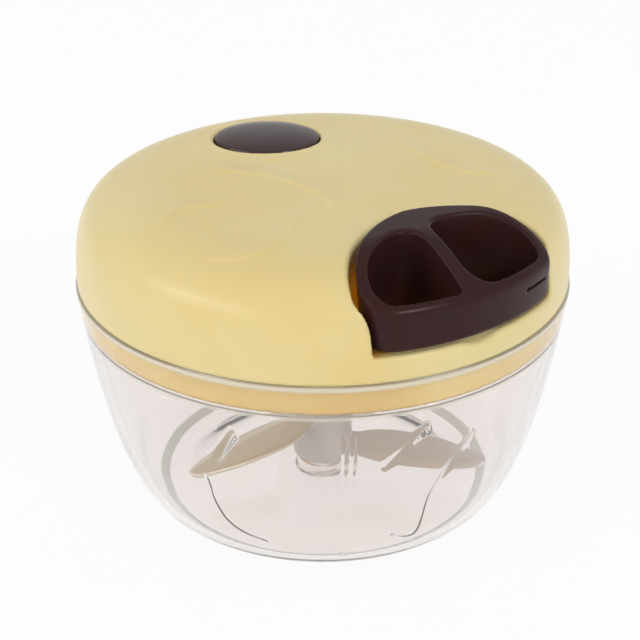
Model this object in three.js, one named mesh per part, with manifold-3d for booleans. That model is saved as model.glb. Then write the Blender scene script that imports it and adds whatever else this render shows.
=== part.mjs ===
// A pull-cord food chopper: a clear bowl, three blades on a hub that turns on the bowl's pin, and a
// domed lid that holds a cord reel, its return spring, a two-finger pull handle and a filler plug.
// Millimetres, +Z up, origin in the middle of the bowl's foot. The front is the -Y side.
import * as THREE from 'three';
import { mergeVertices } from 'three/addons/utils/BufferGeometryUtils.js';
import Module from 'manifold-3d';

const wasm = await Module();
wasm.setup();

// Clearances that all pieces share
const clearance = 0.3;
const runningGap = 0.4;
const overrun = 1;
const weldDistance = 0.0001;

// Fineness, in steps
const roundSteps = 60;
const smallSteps = 20;
const outlineSteps = 12;
const curveSteps = 6;

// Bowl
const bowlHeight = 61.3;
const rimRadius = 62.5;
const footRadius = 42.3;
const bowlWall = 2.4;
const bowlFloorTop = 3;
const footRingWidth = 6.3;
const footRecess = 1.2;
const rimLand = 2.3;
const skirtStepDepth = 8.3;
const bossRadius = 7;
const bossHeight = 3.5;
const bowlFlareShares = [[0, 0], [0.35, 0.1], [0.63, 0.33], [0.85, 0.66], [1, 1]];

// Pivot pin in the bowl's boss
const pinRadius = 2.5;
const pinSeatDepth = 3;
const pinExposed = 13.5;
const pinChamfer = 0.8;

// Blade hub and its three blades
const hubRadius = 8;
const hubNeckRadius = 7;
const hexRadius = 5.6;
const pinBoreSlack = 0.5;
const lowestBlade = 3.6;
const bladeRise = 8.7;
const bladeAzimuth = 74;
const bladeStepAngle = -120;
const bladePitch = 6;
const bladeThickness = 1.2;
const bladeBeyondFoot = 1.4;
const bladeRootRadius = 4.6;
const bladeTang = 9;
const bladeChord = 18;
const bladeTipChord = 5;
const cuttingEdgeShares = [[0.1, 0.42], [0.7, 0.42]];
const backEdgeShares = [[0.75, 0.36], [0.22, 0.6]];

// Lid shell
const lidSetback = 0.5;
const reelHeadroom = 1.9;
const lidWall = 2.2;
const shoulderWidth = 16;
const lidCrownDrop = 0.8;
const lidSideHeight = 4.7;
const shoulderOut = 0.7;
const shoulderSideDrop = 6.2;
const shoulderIn = 12.5;
const shoulderCrownDrop = 1.9;
const crownFlatShare = 0.55;

// Lid base: the plate under the mechanism and the skirt that fits inside the bowl
const basePlate = 2;
const baseBelowShell = 0.6;
const skirtWall = 1.8;
const arborWall = 2;
const arborHeight = 7;
const baseToShell = 0.4;

// Screws that hold the lid base to the shell
const screwBossRadius = 3.8;
const screwShankRadius = 1.4;
const screwHeadRadius = 2.7;
const screwHeadHeight = 1.6;
const screwBite = 9;
const screwInset = 9.8;
const screwSpread = 62;
const screwSpreadBack = 118;

// Reel, its return spring and the winding
const reelFlangeRadius = 20;
const reelWall = 1.5;
const springHeight = 7.2;
const windingCoreRadius = 11;
const windingHeight = 6;
const windingDepth = 5.5;
const shaftRadius = 4.2;
const stubRadius = 4;
const reelCoverThickness = 1.4;
const bearingWall = 2;
const springThickness = 0.5;
const springTurns = 7;
const springTurnSteps = 20;

// Drive socket under the lid base and the screw that holds it to the reel
const socketWall = 2.2;
const socketDepth = 8;
const axleScrewRadius = 1.5;
const axleHeadRadius = 3;
const axleHeadHeight = 1.6;
const axleScrewBite = 8;
const washerThickness = 0.5;
const washerRadius = 4;

// Pull handle and its niche in the lid
const handleAzimuth = 35;
const nicheRise = 6.7;
const handleLift = 0.6;
const handleProud = 2.4;
const gripSetback = 0.4;
const gripHalfWidth = 26;
const gripSideLength = 10;
const reelToNiche = 10.4;
const gripCorner = 3.4;
const nicheGap = 1.6;
const gripSideRim = 3.3;
const gripBackRim = 6;
const gripFrontRim = 2.4;
const gripFrontHeight = 10.4;
const gripFrontSlope = 0.62;
const gripBar = 3.8;
const holeCorner = 2.6;

// Cord and its guide
const cordRadius = 1.1;
const knotRadius = 2.2;
const guideFlangeRadius = 4;
const guideBarrelRadius = 3;
const guideBore = 1.6;
const guideFlange = 0.7;
const cordSides = 8;
const cordStep = 6;

// Filler plug and its well
const plugRadius = 13.7;
const plugDome = 2.2;
const plugHeadDepth = 2.4;
const plugStemRadius = 5.8;
const plugStemLength = 9;
const plugWall = 1.4;
const plugCircle = 29.5;
const plugAzimuth = -150;
const wellWall = 1.6;

// Levels and radii that follow from the sizes above
const footRingInner = footRadius - footRingWidth;
const bladeTipRadius = footRadius + bladeBeyondFoot;
const shellBottom = bowlHeight + clearance;
const lidRadius = rimRadius - lidSetback;
const lidInnerRadius = lidRadius - lidWall;
const lidCrownRadius = lidRadius - shoulderWidth;
const screwBossCircle = lidInnerRadius - screwInset;
const plateBottom = shellBottom + baseBelowShell;
const plateTop = plateBottom + basePlate;
const skirtRadius = lidInnerRadius - baseToShell;
const skirtSeat = bowlHeight - skirtStepDepth;
const pinSeatRadius = pinRadius + clearance;
const bossTop = bowlFloorTop + bossHeight;
const pinTop = bossTop + pinExposed;
const hubBottom = bossTop + runningGap;
const hubBoreRadius = pinRadius + pinBoreSlack;
const shaftBore = shaftRadius + runningGap;
const arborRadius = shaftBore + arborWall;
const reelBottom = plateTop + runningGap;
const reelWeb = reelBottom + springHeight + clearance;
const windingBottom = reelWeb + reelWall;
const windingTop = windingBottom + windingHeight;
const coverTop = windingTop + clearance + reelCoverThickness;
const ceiling = coverTop + reelHeadroom;
const lidHeight = ceiling + lidWall + lidCrownDrop;
const barrelInner = reelFlangeRadius - reelWall - clearance;
const windingRadius = windingCoreRadius + windingDepth;
const cordLevel = (windingBottom + windingTop) / 2;
const socketTop = plateBottom - runningGap;
const socketHex = hexRadius + runningGap;
const socketRadius = socketHex + socketWall;
const socketRoof = socketTop - socketWall;
const socketBottom = socketRoof - socketDepth;
const shaftBottom = socketTop + clearance;
const axleHeadTop = socketRoof - 2 * clearance - washerThickness;
const hubShoulder = socketBottom - runningGap;
const hexTop = axleHeadTop - axleHeadHeight - runningGap;
const nicheFloor = bowlHeight + nicheRise;
const handleBottom = nicheFloor + handleLift;
const gripFrontRadius = lidRadius - gripSetback;
const gripBackCentre = lidRadius - gripSideLength;
const nicheBack = reelFlangeRadius + reelToNiche;
const gripBack = nicheBack + nicheGap;
const gripBackDepth = gripBackCentre - gripBack;
const holeHalfWidth = gripHalfWidth - gripSideRim;
const holeBackDepth = gripBackDepth - gripBackRim;
const holeFrontRadius = gripFrontRadius - gripFrontRim;
const plugWellRadius = plugRadius + clearance;
const plugSeat = lidHeight - lidCrownDrop - plugHeadDepth;
const fillerBore = plugStemRadius + clearance;

// Materials
const plastic = (color, roughness) => new THREE.MeshStandardMaterial({ color, roughness, metalness: 0 });
const metal = (color, roughness) => new THREE.MeshStandardMaterial({ color, roughness, metalness: 1 });
const clearPlastic = new THREE.MeshStandardMaterial({
  color: '#e6dbd2', roughness: 0.08, metalness: 0, transparent: true, opacity: 0.35,
});
const lidYellow = plastic('#e4d094', 0.42);
const baseYellow = plastic('#dec97f', 0.45);
const darkBrown = plastic('#42292e', 0.3);
const hubGrey = plastic('#b9b4b0', 0.35);
const reelWhite = plastic('#e9e6df', 0.5);
const cordWhite = plastic('#ece9e2', 0.85);
const bladeSteel = metal('#b8b9bb', 0.18);
const springSteel = metal('#8f9296', 0.32);
const screwSteel = metal('#a6a8ab', 0.28);

// A closed geometry as a solid that can be joined and cut
function solidOf(geometry) {
  const bare = geometry.clone();
  bare.deleteAttribute('normal');
  bare.deleteAttribute('uv');
  const merged = mergeVertices(bare, weldDistance);
  const corners = merged.index.array;
  const triVerts = [];
  for (let i = 0; i < corners.length; i += 3) {
    const [a, b, c] = [corners[i], corners[i + 1], corners[i + 2]];
    if (a !== b && b !== c && c !== a) triVerts.push(a, b, c);
  }
  return new wasm.Manifold(new wasm.Mesh({
    numProp: 3,
    vertProperties: new Float32Array(merged.attributes.position.array),
    triVerts: new Uint32Array(triVerts),
  }));
}

function meshOf(name, solid, material) {
  const { vertProperties, triVerts } = solid.getMesh();
  const geometry = new THREE.BufferGeometry();
  geometry.setAttribute('position', new THREE.BufferAttribute(new Float32Array(vertProperties), 3));
  geometry.setIndex(new THREE.BufferAttribute(new Uint32Array(triVerts), 1));
  geometry.computeVertexNormals();
  const mesh = new THREE.Mesh(geometry, material);
  mesh.name = name;
  return mesh;
}

// A solid of revolution about Z from [radius, height] points that close on the axis or on themselves
function revolve(points, steps = roundSteps) {
  const profile = points.map(([radius, height]) => new THREE.Vector2(radius, height));
  const touchesAxis = profile[0].x === 0 && profile.at(-1).x === 0;
  if (!touchesAxis) profile.push(profile[0].clone());
  return solidOf(new THREE.LatheGeometry(profile, steps).rotateX(Math.PI / 2));
}

function ring(inner, outer, bottom, top, steps = roundSteps) {
  return revolve([[inner, bottom], [outer, bottom], [outer, top], [inner, top]], steps);
}

function prism(radius, bottom, top, sides = smallSteps) {
  const geometry = new THREE.CylinderGeometry(radius, radius, top - bottom, sides);
  return solidOf(geometry.rotateX(Math.PI / 2).translate(0, 0, (bottom + top) / 2));
}

function extrude(shape, bottom, top) {
  const settings = { depth: top - bottom, bevelEnabled: false, curveSegments: outlineSteps };
  return solidOf(new THREE.ExtrudeGeometry(shape, settings).translate(0, 0, bottom));
}

// Azimuths are measured from the front, -Y, towards +X
const turnOf = (azimuth) => azimuth - 90;
const around = (solid, azimuth) => solid.rotate([0, 0, turnOf(azimuth)]);
const outAt = (solid, radius, azimuth) => around(solid.translate([radius, 0, 0]), azimuth);

// Bowl: the flared outer wall is a smooth curve and the inner wall is the same curve moved inwards
function bowlSolid() {
  const wallCurve = new THREE.SplineCurve(bowlFlareShares.map(([out, up]) => new THREE.Vector2(
    footRadius + out * (rimRadius - footRadius),
    up * bowlHeight,
  )));
  const outer = wallCurve.getPoints(2 * curveSteps).map((point) => [point.x, point.y]);
  const inner = [];
  for (let i = 0; i <= 2 * curveSteps; i += 1) {
    const point = wallCurve.getPoint(i / (2 * curveSteps));
    const tangent = wallCurve.getTangent(i / (2 * curveSteps));
    const moved = [point.x - tangent.y * bowlWall, point.y + tangent.x * bowlWall];
    if (moved[1] > bowlFloorTop + bowlWall / 2 && moved[1] < skirtSeat - bowlWall / 2) inner.push(moved);
  }
  const lowest = inner[0];
  const highest = inner.at(-1);
  const land = rimRadius - rimLand;
  const pinSeat = bossTop - pinSeatDepth - clearance;
  return revolve([
    [0, footRecess],
    [footRingInner, footRecess],
    [footRingInner, 0],
    ...outer,
    [land, bowlHeight],
    [land, skirtSeat],
    [highest[0], skirtSeat],
    ...inner.reverse(),
    [lowest[0] - 2 * bowlWall, bowlFloorTop],
    [bossRadius, bowlFloorTop],
    [bossRadius, bossTop],
    [pinSeatRadius, bossTop],
    [pinSeatRadius, pinSeat],
    [0, pinSeat],
  ]);
}

function pivotPin() {
  return revolve([
    [0, bossTop - pinSeatDepth],
    [pinRadius, bossTop - pinSeatDepth],
    [pinRadius, pinTop - pinChamfer],
    [pinRadius - pinChamfer, pinTop],
    [0, pinTop],
  ], smallSteps);
}

// One blade lies along +X with its cutting edge on the -Y side; room makes the slot that it sits in
function bladeSolid(room) {
  const neck = hubRadius + bladeThickness;
  const span = bladeTipRadius - neck;
  const half = bladeTang / 2 + room;
  const controls = (shares, side) => shares.map(([along, across]) => [
    neck + along * span,
    side * across * bladeChord,
  ]).flat();
  const outline = new THREE.Shape();
  outline.moveTo(bladeRootRadius - room, -half);
  outline.lineTo(neck, -half);
  if (room > 0) {
    outline.lineTo(neck, half);
  } else {
    outline.bezierCurveTo(...controls(cuttingEdgeShares, -1), bladeTipRadius, -bladeTipChord / 2);
    outline.quadraticCurveTo(bladeTipRadius + bladeThickness, 0, bladeTipRadius, bladeTipChord / 2);
    outline.bezierCurveTo(...controls(backEdgeShares, 1), neck, half);
  }
  outline.lineTo(bladeRootRadius - room, half);
  const side = bladeThickness / 2 + room;
  return extrude(outline, -side, side).rotate([bladePitch, 0, 0]);
}

function bladeAt(index, room = 0) {
  const level = hubBottom + lowestBlade + index * bladeRise;
  return around(bladeSolid(room), bladeAzimuth + index * bladeStepAngle).translate([0, 0, level]);
}

function bladeHub() {
  const boreTop = pinTop + runningGap;
  let hub = revolve([
    [0, boreTop],
    [hubBoreRadius, boreTop],
    [hubBoreRadius, hubBottom],
    [hubRadius, hubBottom],
    [hubNeckRadius, hubShoulder],
    [0, hubShoulder],
  ], smallSteps);
  hub = hub.add(prism(hexRadius, hubShoulder - overrun, hexTop, 6));
  for (let index = 0; index < 3; index += 1) hub = hub.subtract(bladeAt(index, clearance));
  return hub;
}

// Outline of the lid from its edge up over the shoulder to the middle, moved inwards by an inset
function domeProfile(inset, bottom) {
  const radius = lidRadius - inset;
  const crown = lidHeight - lidCrownDrop - inset;
  const side = new THREE.Vector2(radius, shellBottom + lidSideHeight);
  const shoulder = new THREE.CubicBezierCurve(
    side,
    new THREE.Vector2(radius - shoulderOut, crown - shoulderSideDrop + lidCrownDrop),
    new THREE.Vector2(lidCrownRadius + shoulderIn, crown - shoulderCrownDrop),
    new THREE.Vector2(lidCrownRadius, crown),
  );
  const top = new THREE.QuadraticBezierCurve(
    new THREE.Vector2(lidCrownRadius, crown),
    new THREE.Vector2(lidCrownRadius * crownFlatShare, crown + lidCrownDrop),
    new THREE.Vector2(0, crown + lidCrownDrop),
  );
  return [
    [0, bottom],
    [radius, bottom],
    ...shoulder.getPoints(curveSteps).map((point) => [point.x, point.y]),
    ...top.getPoints(curveSteps / 2).slice(1).map((point) => [point.x, point.y]),
  ];
}

const domeSolid = (inset, bottom) => revolve(domeProfile(inset, bottom));

// D-shaped outline of the pull handle: an elliptic back, straight sides and a front about the lid's axis
function gripOutline(grow, frontRadius, corner) {
  const half = gripHalfWidth + grow;
  const cornerAngle = Math.asin(half / frontRadius) - corner / frontRadius;
  const sideEnd = Math.sqrt(frontRadius ** 2 - half ** 2);
  const cornerStart = Math.max(sideEnd - corner, gripBackCentre);
  const outline = new THREE.Shape();
  outline.absellipse(gripBackCentre, 0, gripBackDepth + grow, half, Math.PI / 2, 1.5 * Math.PI, false, 0);
  outline.lineTo(cornerStart, -half);
  outline.quadraticCurveTo(
    sideEnd, -half,
    frontRadius * Math.cos(cornerAngle), -frontRadius * Math.sin(cornerAngle),
  );
  outline.absarc(0, 0, frontRadius, -cornerAngle, cornerAngle, false);
  outline.quadraticCurveTo(sideEnd, half, cornerStart, half);
  return outline;
}

// Outline of one finger hole, between the middle bar and the rim, on the side given by 1 or -1
function fingerHole(side) {
  const bar = gripBar / 2;
  const half = holeHalfWidth;
  const backCorner = gripBackCentre - holeBackDepth * Math.sqrt(1 - (bar / half) ** 2);
  const frontCorner = Math.sqrt(holeFrontRadius ** 2 - bar ** 2);
  const sideCorner = Math.sqrt(holeFrontRadius ** 2 - half ** 2);
  const sideStart = Math.max(sideCorner - holeCorner, gripBackCentre);
  const frontStart = Math.asin(bar / holeFrontRadius) + holeCorner / holeFrontRadius;
  const frontEnd = Math.asin(half / holeFrontRadius) - holeCorner / holeFrontRadius;
  const backEnd = Math.PI - Math.asin((bar + holeCorner) / half);
  const path = new THREE.Path();
  path.moveTo(backCorner + holeCorner, bar);
  path.lineTo(frontCorner - holeCorner, bar);
  path.quadraticCurveTo(
    frontCorner, bar,
    holeFrontRadius * Math.cos(frontStart), holeFrontRadius * Math.sin(frontStart),
  );
  path.absarc(0, 0, holeFrontRadius, frontStart, frontEnd, false);
  path.quadraticCurveTo(sideCorner, half, sideStart, half);
  path.absellipse(gripBackCentre, 0, holeBackDepth, half, Math.PI / 2, backEnd, false, 0);
  path.quadraticCurveTo(backCorner, bar, backCorner + holeCorner, bar);
  const points = path.getPoints(curveSteps).map((point) => new THREE.Vector2(point.x, side * point.y));
  return new THREE.Shape(points);
}

// Straight cord between two points, as an eight-sided tube
function cordTube(start, end) {
  const steps = Math.ceil(start.distanceTo(end) / cordStep);
  const section = new THREE.Shape();
  section.absarc(0, 0, cordRadius, 0, 2 * Math.PI, false);
  const path = new THREE.LineCurve3(start, end);
  const geometry = new THREE.ExtrudeGeometry(
    new THREE.Shape(section.getSpacedPoints(cordSides).slice(0, -1)),
    { steps, extrudePath: path, bevelEnabled: false },
  );
  return solidOf(geometry);
}

// Places of the cord in the handle's own directions: along the pull, across it, and up
const alongPull = (along, across, up) => new THREE.Vector3(along, across, up);
const guideBack = nicheBack - lidWall - guideFlange - clearance;
const guideFront = gripBack - runningGap;
const cordBend = guideBack - 2 * cordRadius;
const cordTangent = Math.acos(windingRadius / cordBend);
const cordLeaves = alongPull(
  windingRadius * Math.cos(cordTangent),
  -windingRadius * Math.sin(cordTangent),
  cordLevel,
);
const cordTurns = alongPull(cordBend, 0, cordLevel);
const pocketBack = gripBack + lidWall;
const pocketFront = pocketBack + 2 * knotRadius + clearance;

function cordLeadSolid() {
  const slack = clearance / cordLeaves.distanceTo(cordTurns);
  const start = cordLeaves.clone().lerp(cordTurns, 2 * slack);
  return around(cordTube(start, cordTurns), handleAzimuth);
}

function cordTailSolid() {
  const start = alongPull(cordTurns.x + cordRadius + clearance, 0, cordLevel);
  const knotCentre = pocketBack + knotRadius + clearance / 2;
  const knot = solidOf(new THREE.SphereGeometry(knotRadius, 12, 8)).translate([knotCentre, 0, cordLevel]);
  const tube = cordTube(start, alongPull(knotCentre, 0, cordLevel));
  return around(tube.add(knot), handleAzimuth);
}

// A hole or barrel along the pull direction at the cord's level
function alongCord(radius, from, to) {
  const geometry = new THREE.CylinderGeometry(radius, radius, to - from, smallSteps);
  return solidOf(geometry.rotateZ(Math.PI / 2).translate((from + to) / 2, 0, cordLevel));
}

function cordGuideSolid() {
  const flangeStart = guideFront - guideFlange;
  const body = alongCord(guideFlangeRadius, flangeStart, guideFront)
    .add(alongCord(guideBarrelRadius, guideBack, flangeStart + overrun / 2));
  const bore = alongCord(guideBore, guideBack - overrun, guideFront + overrun);
  return around(body.subtract(bore), handleAzimuth);
}

// Cone that the handle's top slopes down on towards its front edge
function gripFrontCone() {
  const edge = gripFrontRadius + overrun;
  const edgeHeight = handleBottom + gripFrontHeight - overrun * gripFrontSlope;
  const apex = edgeHeight + edge * gripFrontSlope;
  return revolve([[0, shellBottom], [edge, shellBottom], [edge, edgeHeight], [0, apex]]);
}

function pullHandleSolid() {
  const top = lidHeight + handleProud + overrun;
  let grip = extrude(gripOutline(0, gripFrontRadius, gripCorner), handleBottom, top);
  grip = grip.intersect(domeSolid(-handleProud, shellBottom)).intersect(gripFrontCone());
  for (const side of [1, -1]) {
    grip = grip.subtract(extrude(fingerHole(side), handleBottom - overrun, top));
  }
  const cordBore = alongCord(cordRadius + clearance, gripBack - overrun, pocketBack + overrun);
  const pocketHalf = knotRadius + clearance / 2;
  const pocket = new THREE.Shape([
    new THREE.Vector2(pocketBack, -pocketHalf),
    new THREE.Vector2(pocketFront, -pocketHalf),
    new THREE.Vector2(pocketFront, pocketHalf),
    new THREE.Vector2(pocketBack, pocketHalf),
  ]);
  const pocketTop = cordLevel + knotRadius + clearance;
  grip = grip.subtract(cordBore).subtract(extrude(pocket, handleBottom - overrun, pocketTop));
  return around(grip, handleAzimuth);
}

const screwAzimuths = [
  handleAzimuth - screwSpread,
  handleAzimuth + screwSpread,
  handleAzimuth + screwSpreadBack,
  handleAzimuth - screwSpreadBack,
];

// Lid shell: the dome with its niche for the handle, the filler well, screw bosses and reel bearing
function lidShellSolid() {
  const outside = domeSolid(0, shellBottom);
  const inside = domeSolid(lidWall, shellBottom - overrun);
  const above = lidHeight + overrun;
  const nicheOuter = rimRadius + overrun;
  const nicheWalls = extrude(gripOutline(nicheGap + lidWall, nicheOuter, 0), nicheFloor - lidWall, above);
  const wellWalls = prism(plugWellRadius + wellWall, plugSeat - wellWall, above, roundSteps / 2);
  const fillerTube = prism(fillerBore + wellWall, plateTop + clearance, plugSeat, smallSteps);
  const bearing = prism(stubRadius + runningGap + bearingWall, coverTop + runningGap, above);
  let added = around(nicheWalls, handleAzimuth)
    .add(outAt(wellWalls.add(fillerTube), plugCircle, plugAzimuth))
    .add(bearing);
  for (const azimuth of screwAzimuths) {
    const boss = prism(screwBossRadius, plateTop + clearance, above);
    added = added.add(outAt(boss, screwBossCircle, azimuth));
  }
  let shell = outside.subtract(inside).add(added.intersect(outside));
  const niche = extrude(gripOutline(nicheGap, nicheOuter, 0), nicheFloor, above);
  const well = prism(plugWellRadius, plugSeat, above, roundSteps / 2);
  const filler = prism(fillerBore, shellBottom, above);
  shell = shell.subtract(around(niche, handleAzimuth))
    .subtract(outAt(well.add(filler), plugCircle, plugAzimuth))
    .subtract(prism(stubRadius + runningGap, shellBottom, ceiling + clearance));
  for (const azimuth of screwAzimuths) {
    const pilotTop = plateTop + screwBite + clearance;
    const pilot = prism(screwShankRadius + clearance, shellBottom, pilotTop);
    shell = shell.subtract(outAt(pilot, screwBossCircle, azimuth));
  }
  const guideHole = alongCord(guideBarrelRadius + clearance, guideBack - overrun, gripBack);
  return shell.subtract(around(guideHole, handleAzimuth));
}

function lidBaseSolid() {
  const headroom = screwHeadHeight + clearance;
  let base = revolve([
    [shaftBore, plateBottom],
    [skirtRadius - skirtWall, plateBottom],
    [skirtRadius - skirtWall, skirtSeat + clearance],
    [skirtRadius, skirtSeat + clearance],
    [skirtRadius, plateTop],
    [arborRadius, plateTop],
    [arborRadius, plateTop + arborHeight],
    [shaftBore, plateTop + arborHeight],
  ]);
  const filler = prism(fillerBore, plateBottom - overrun, plateTop + overrun);
  base = base.subtract(outAt(filler, plugCircle, plugAzimuth));
  for (const azimuth of screwAzimuths) {
    const hole = prism(screwShankRadius + clearance, plateBottom - overrun, plateTop + overrun);
    const sink = prism(screwHeadRadius + clearance, plateBottom - overrun, plateBottom + headroom / 2);
    base = base.subtract(outAt(hole.add(sink), screwBossCircle, azimuth));
  }
  return base;
}

function lidScrewSolid(azimuth) {
  const headTop = plateBottom + screwHeadHeight / 2 - clearance;
  const head = prism(screwHeadRadius, headTop - screwHeadHeight, headTop);
  const shank = prism(screwShankRadius, headTop - screwHeadHeight / 2, plateTop + screwBite);
  return outAt(head.add(shank), screwBossCircle, azimuth);
}

// Reel: spring barrel open below, a core for the cord above it, and the shaft through the lid base
function cordReelSolid() {
  const reel = revolve([
    [0, shaftBottom],
    [shaftRadius, shaftBottom],
    [shaftRadius, reelWeb],
    [barrelInner, reelWeb],
    [barrelInner, reelBottom],
    [reelFlangeRadius, reelBottom],
    [reelFlangeRadius, windingBottom],
    [windingCoreRadius, windingBottom],
    [windingCoreRadius, windingTop],
    [stubRadius, windingTop],
    [stubRadius, ceiling],
    [0, ceiling],
  ]);
  const pilot = prism(axleScrewRadius + clearance, shaftBottom - overrun, shaftBottom + axleScrewBite);
  return reel.subtract(pilot);
}

function reelCoverSolid() {
  return ring(stubRadius + clearance, reelFlangeRadius, windingTop + clearance, coverTop);
}

function cordWindingSolid() {
  return ring(
    windingCoreRadius + clearance,
    windingRadius - cordRadius - clearance,
    windingBottom + clearance,
    windingTop,
    roundSteps / 2,
  );
}

// Return spring: one flat strip that winds out from the fixed arbor to the barrel's wall
function mainspringSolid() {
  const innerRadius = arborRadius + clearance;
  const outerRadius = barrelInner - clearance - springThickness;
  const steps = springTurns * springTurnSteps;
  const edge = (offset) => Array.from({ length: steps + 1 }, (_, i) => {
    const angle = (2 * Math.PI * i) / springTurnSteps;
    const radius = innerRadius + ((outerRadius - innerRadius) * i) / steps + offset;
    return new THREE.Vector2(radius * Math.cos(angle), radius * Math.sin(angle));
  });
  const strip = new THREE.Shape([...edge(springThickness), ...edge(0).reverse()]);
  return extrude(strip, reelBottom + clearance, reelWeb - clearance);
}

function driveSocketSolid() {
  const body = prism(socketRadius, socketBottom, socketTop);
  const hex = prism(socketHex, socketBottom - overrun, socketRoof, 6);
  const hole = prism(axleScrewRadius + clearance, socketRoof - overrun, socketTop + overrun);
  return body.subtract(hex).subtract(hole);
}

function axleWasherSolid() {
  const top = socketRoof - clearance;
  return ring(axleScrewRadius + clearance, washerRadius, top - washerThickness, top, smallSteps);
}

function axleScrewSolid() {
  const head = prism(axleHeadRadius, axleHeadTop - axleHeadHeight, axleHeadTop);
  const shankTop = shaftBottom + axleScrewBite - clearance;
  return head.add(prism(axleScrewRadius, axleHeadTop - axleHeadHeight / 2, shankTop));
}

// Filler plug: a domed head in the lid's well on a hollow stem in the filler tube
function fillerPlugSolid() {
  const bottom = plugSeat + clearance;
  const crown = lidHeight + plugDome;
  const edge = lidHeight - lidCrownDrop;
  const dome = new THREE.QuadraticBezierCurve(
    new THREE.Vector2(plugRadius, edge),
    new THREE.Vector2(plugRadius * crownFlatShare, crown),
    new THREE.Vector2(0, crown),
  );
  const stemBottom = bottom - plugStemLength;
  const stemInner = plugStemRadius - plugWall;
  const plug = revolve([
    [0, bottom],
    [stemInner, bottom],
    [stemInner, stemBottom],
    [plugStemRadius, stemBottom],
    [plugStemRadius, bottom],
    [plugRadius, bottom],
    ...dome.getPoints(curveSteps / 2).map((point) => [point.x, point.y]),
  ], roundSteps / 2);
  return outAt(plug, plugCircle, plugAzimuth);
}

const bladeNames = ['lower_blade', 'middle_blade', 'upper_blade'];
const part = new THREE.Group();
part.add(
  meshOf('bowl', bowlSolid(), clearPlastic),
  meshOf('bowl_pin', pivotPin(), screwSteel),
  meshOf('blade_hub', bladeHub(), hubGrey),
  ...bladeNames.map((name, index) => meshOf(name, bladeAt(index), bladeSteel)),
  meshOf('lid_shell', lidShellSolid(), lidYellow),
  meshOf('lid_base', lidBaseSolid(), baseYellow),
  ...screwAzimuths.map((azimuth, index) => (
    meshOf(`lid_screw_${index + 1}`, lidScrewSolid(azimuth), screwSteel)
  )),
  meshOf('cord_guide', cordGuideSolid(), screwSteel),
  meshOf('mainspring', mainspringSolid(), springSteel),
  meshOf('cord_reel', cordReelSolid(), reelWhite),
  meshOf('reel_cover', reelCoverSolid(), reelWhite),
  meshOf('cord_winding', cordWindingSolid(), cordWhite),
  meshOf('cord_lead', cordLeadSolid(), cordWhite),
  meshOf('cord_tail', cordTailSolid(), cordWhite),
  meshOf('drive_socket', driveSocketSolid(), hubGrey),
  meshOf('axle_washer', axleWasherSolid(), screwSteel),
  meshOf('axle_screw', axleScrewSolid(), screwSteel),
  meshOf('pull_handle', pullHandleSolid(), darkBrown),
  meshOf('filler_plug', fillerPlugSolid(), darkBrown),
);

export default part;
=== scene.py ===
"""Pull-cord food chopper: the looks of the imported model.

Shapes are worked out in millimetres and put into their meshes in metres. Azimuths are measured
from the front, -Y, towards +X. The pull handle and its niche are worked out in the directions of
the pull: along it, across it, and up.
"""
import math

import bpy
import numpy as np
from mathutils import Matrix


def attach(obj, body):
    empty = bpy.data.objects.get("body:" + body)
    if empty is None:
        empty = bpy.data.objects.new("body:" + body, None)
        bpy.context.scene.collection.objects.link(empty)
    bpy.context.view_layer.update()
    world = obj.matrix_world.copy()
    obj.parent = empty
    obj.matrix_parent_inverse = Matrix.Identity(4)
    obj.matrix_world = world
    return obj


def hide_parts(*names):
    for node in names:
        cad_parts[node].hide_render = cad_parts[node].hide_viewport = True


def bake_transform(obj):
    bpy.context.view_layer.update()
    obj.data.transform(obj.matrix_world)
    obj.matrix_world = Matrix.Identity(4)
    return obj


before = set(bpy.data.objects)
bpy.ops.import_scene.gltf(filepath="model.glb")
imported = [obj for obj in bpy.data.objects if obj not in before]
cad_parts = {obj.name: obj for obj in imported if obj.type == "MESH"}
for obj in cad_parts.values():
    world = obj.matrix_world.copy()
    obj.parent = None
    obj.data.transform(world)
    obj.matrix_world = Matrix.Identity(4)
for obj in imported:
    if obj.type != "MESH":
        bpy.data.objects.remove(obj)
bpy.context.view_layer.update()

MM = 0.001

# Sizes of the CAD model that the surfaces keep, in millimetres
BOWL_HEIGHT = 61.3
RIM_RADIUS = 62.5
FOOT_RADIUS = 42.3
FOOT_INNER = 36.0
FOOT_RECESS = 1.2
BOWL_WALL = 2.4
FLOOR_TOP = 3.0
RIM_LAND = 60.2
SKIRT_SEAT = 53.0
BOSS_RADIUS = 7.0
BOSS_TOP = 6.5
PIN_RADIUS = 2.5
PIN_SEAT_RADIUS = 2.8
PIN_SEAT = 3.2
PIN_TOP = 20.0
BOWL_FLARE = ((0, 0), (0.35, 0.1), (0.63, 0.33), (0.85, 0.66), (1, 1))

HUB_BOTTOM = 6.9
HUB_SHOULDER = 51.2
HUB_RADIUS = 8.0
HUB_NECK = 7.0
HEX_RADIUS = 5.6
HEX_TOP = 56.5
HUB_BORE = 3.0
HUB_BORE_TOP = 20.4
LOWEST_BLADE = 10.5
BLADE_RISE = 8.7
BLADE_AZIMUTH = 74.0
BLADE_STEP = -120.0
BLADE_PITCH = 6.0
BLADE_THICKNESS = 1.2
BLADE_ROOT = 4.6
BLADE_NECK = 9.2
BLADE_TIP = 43.7
BLADE_END = 44.9
BLADE_TANG = 9.0
BLADE_CHORD = 18.0
BLADE_TIP_CHORD = 5.0

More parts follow.
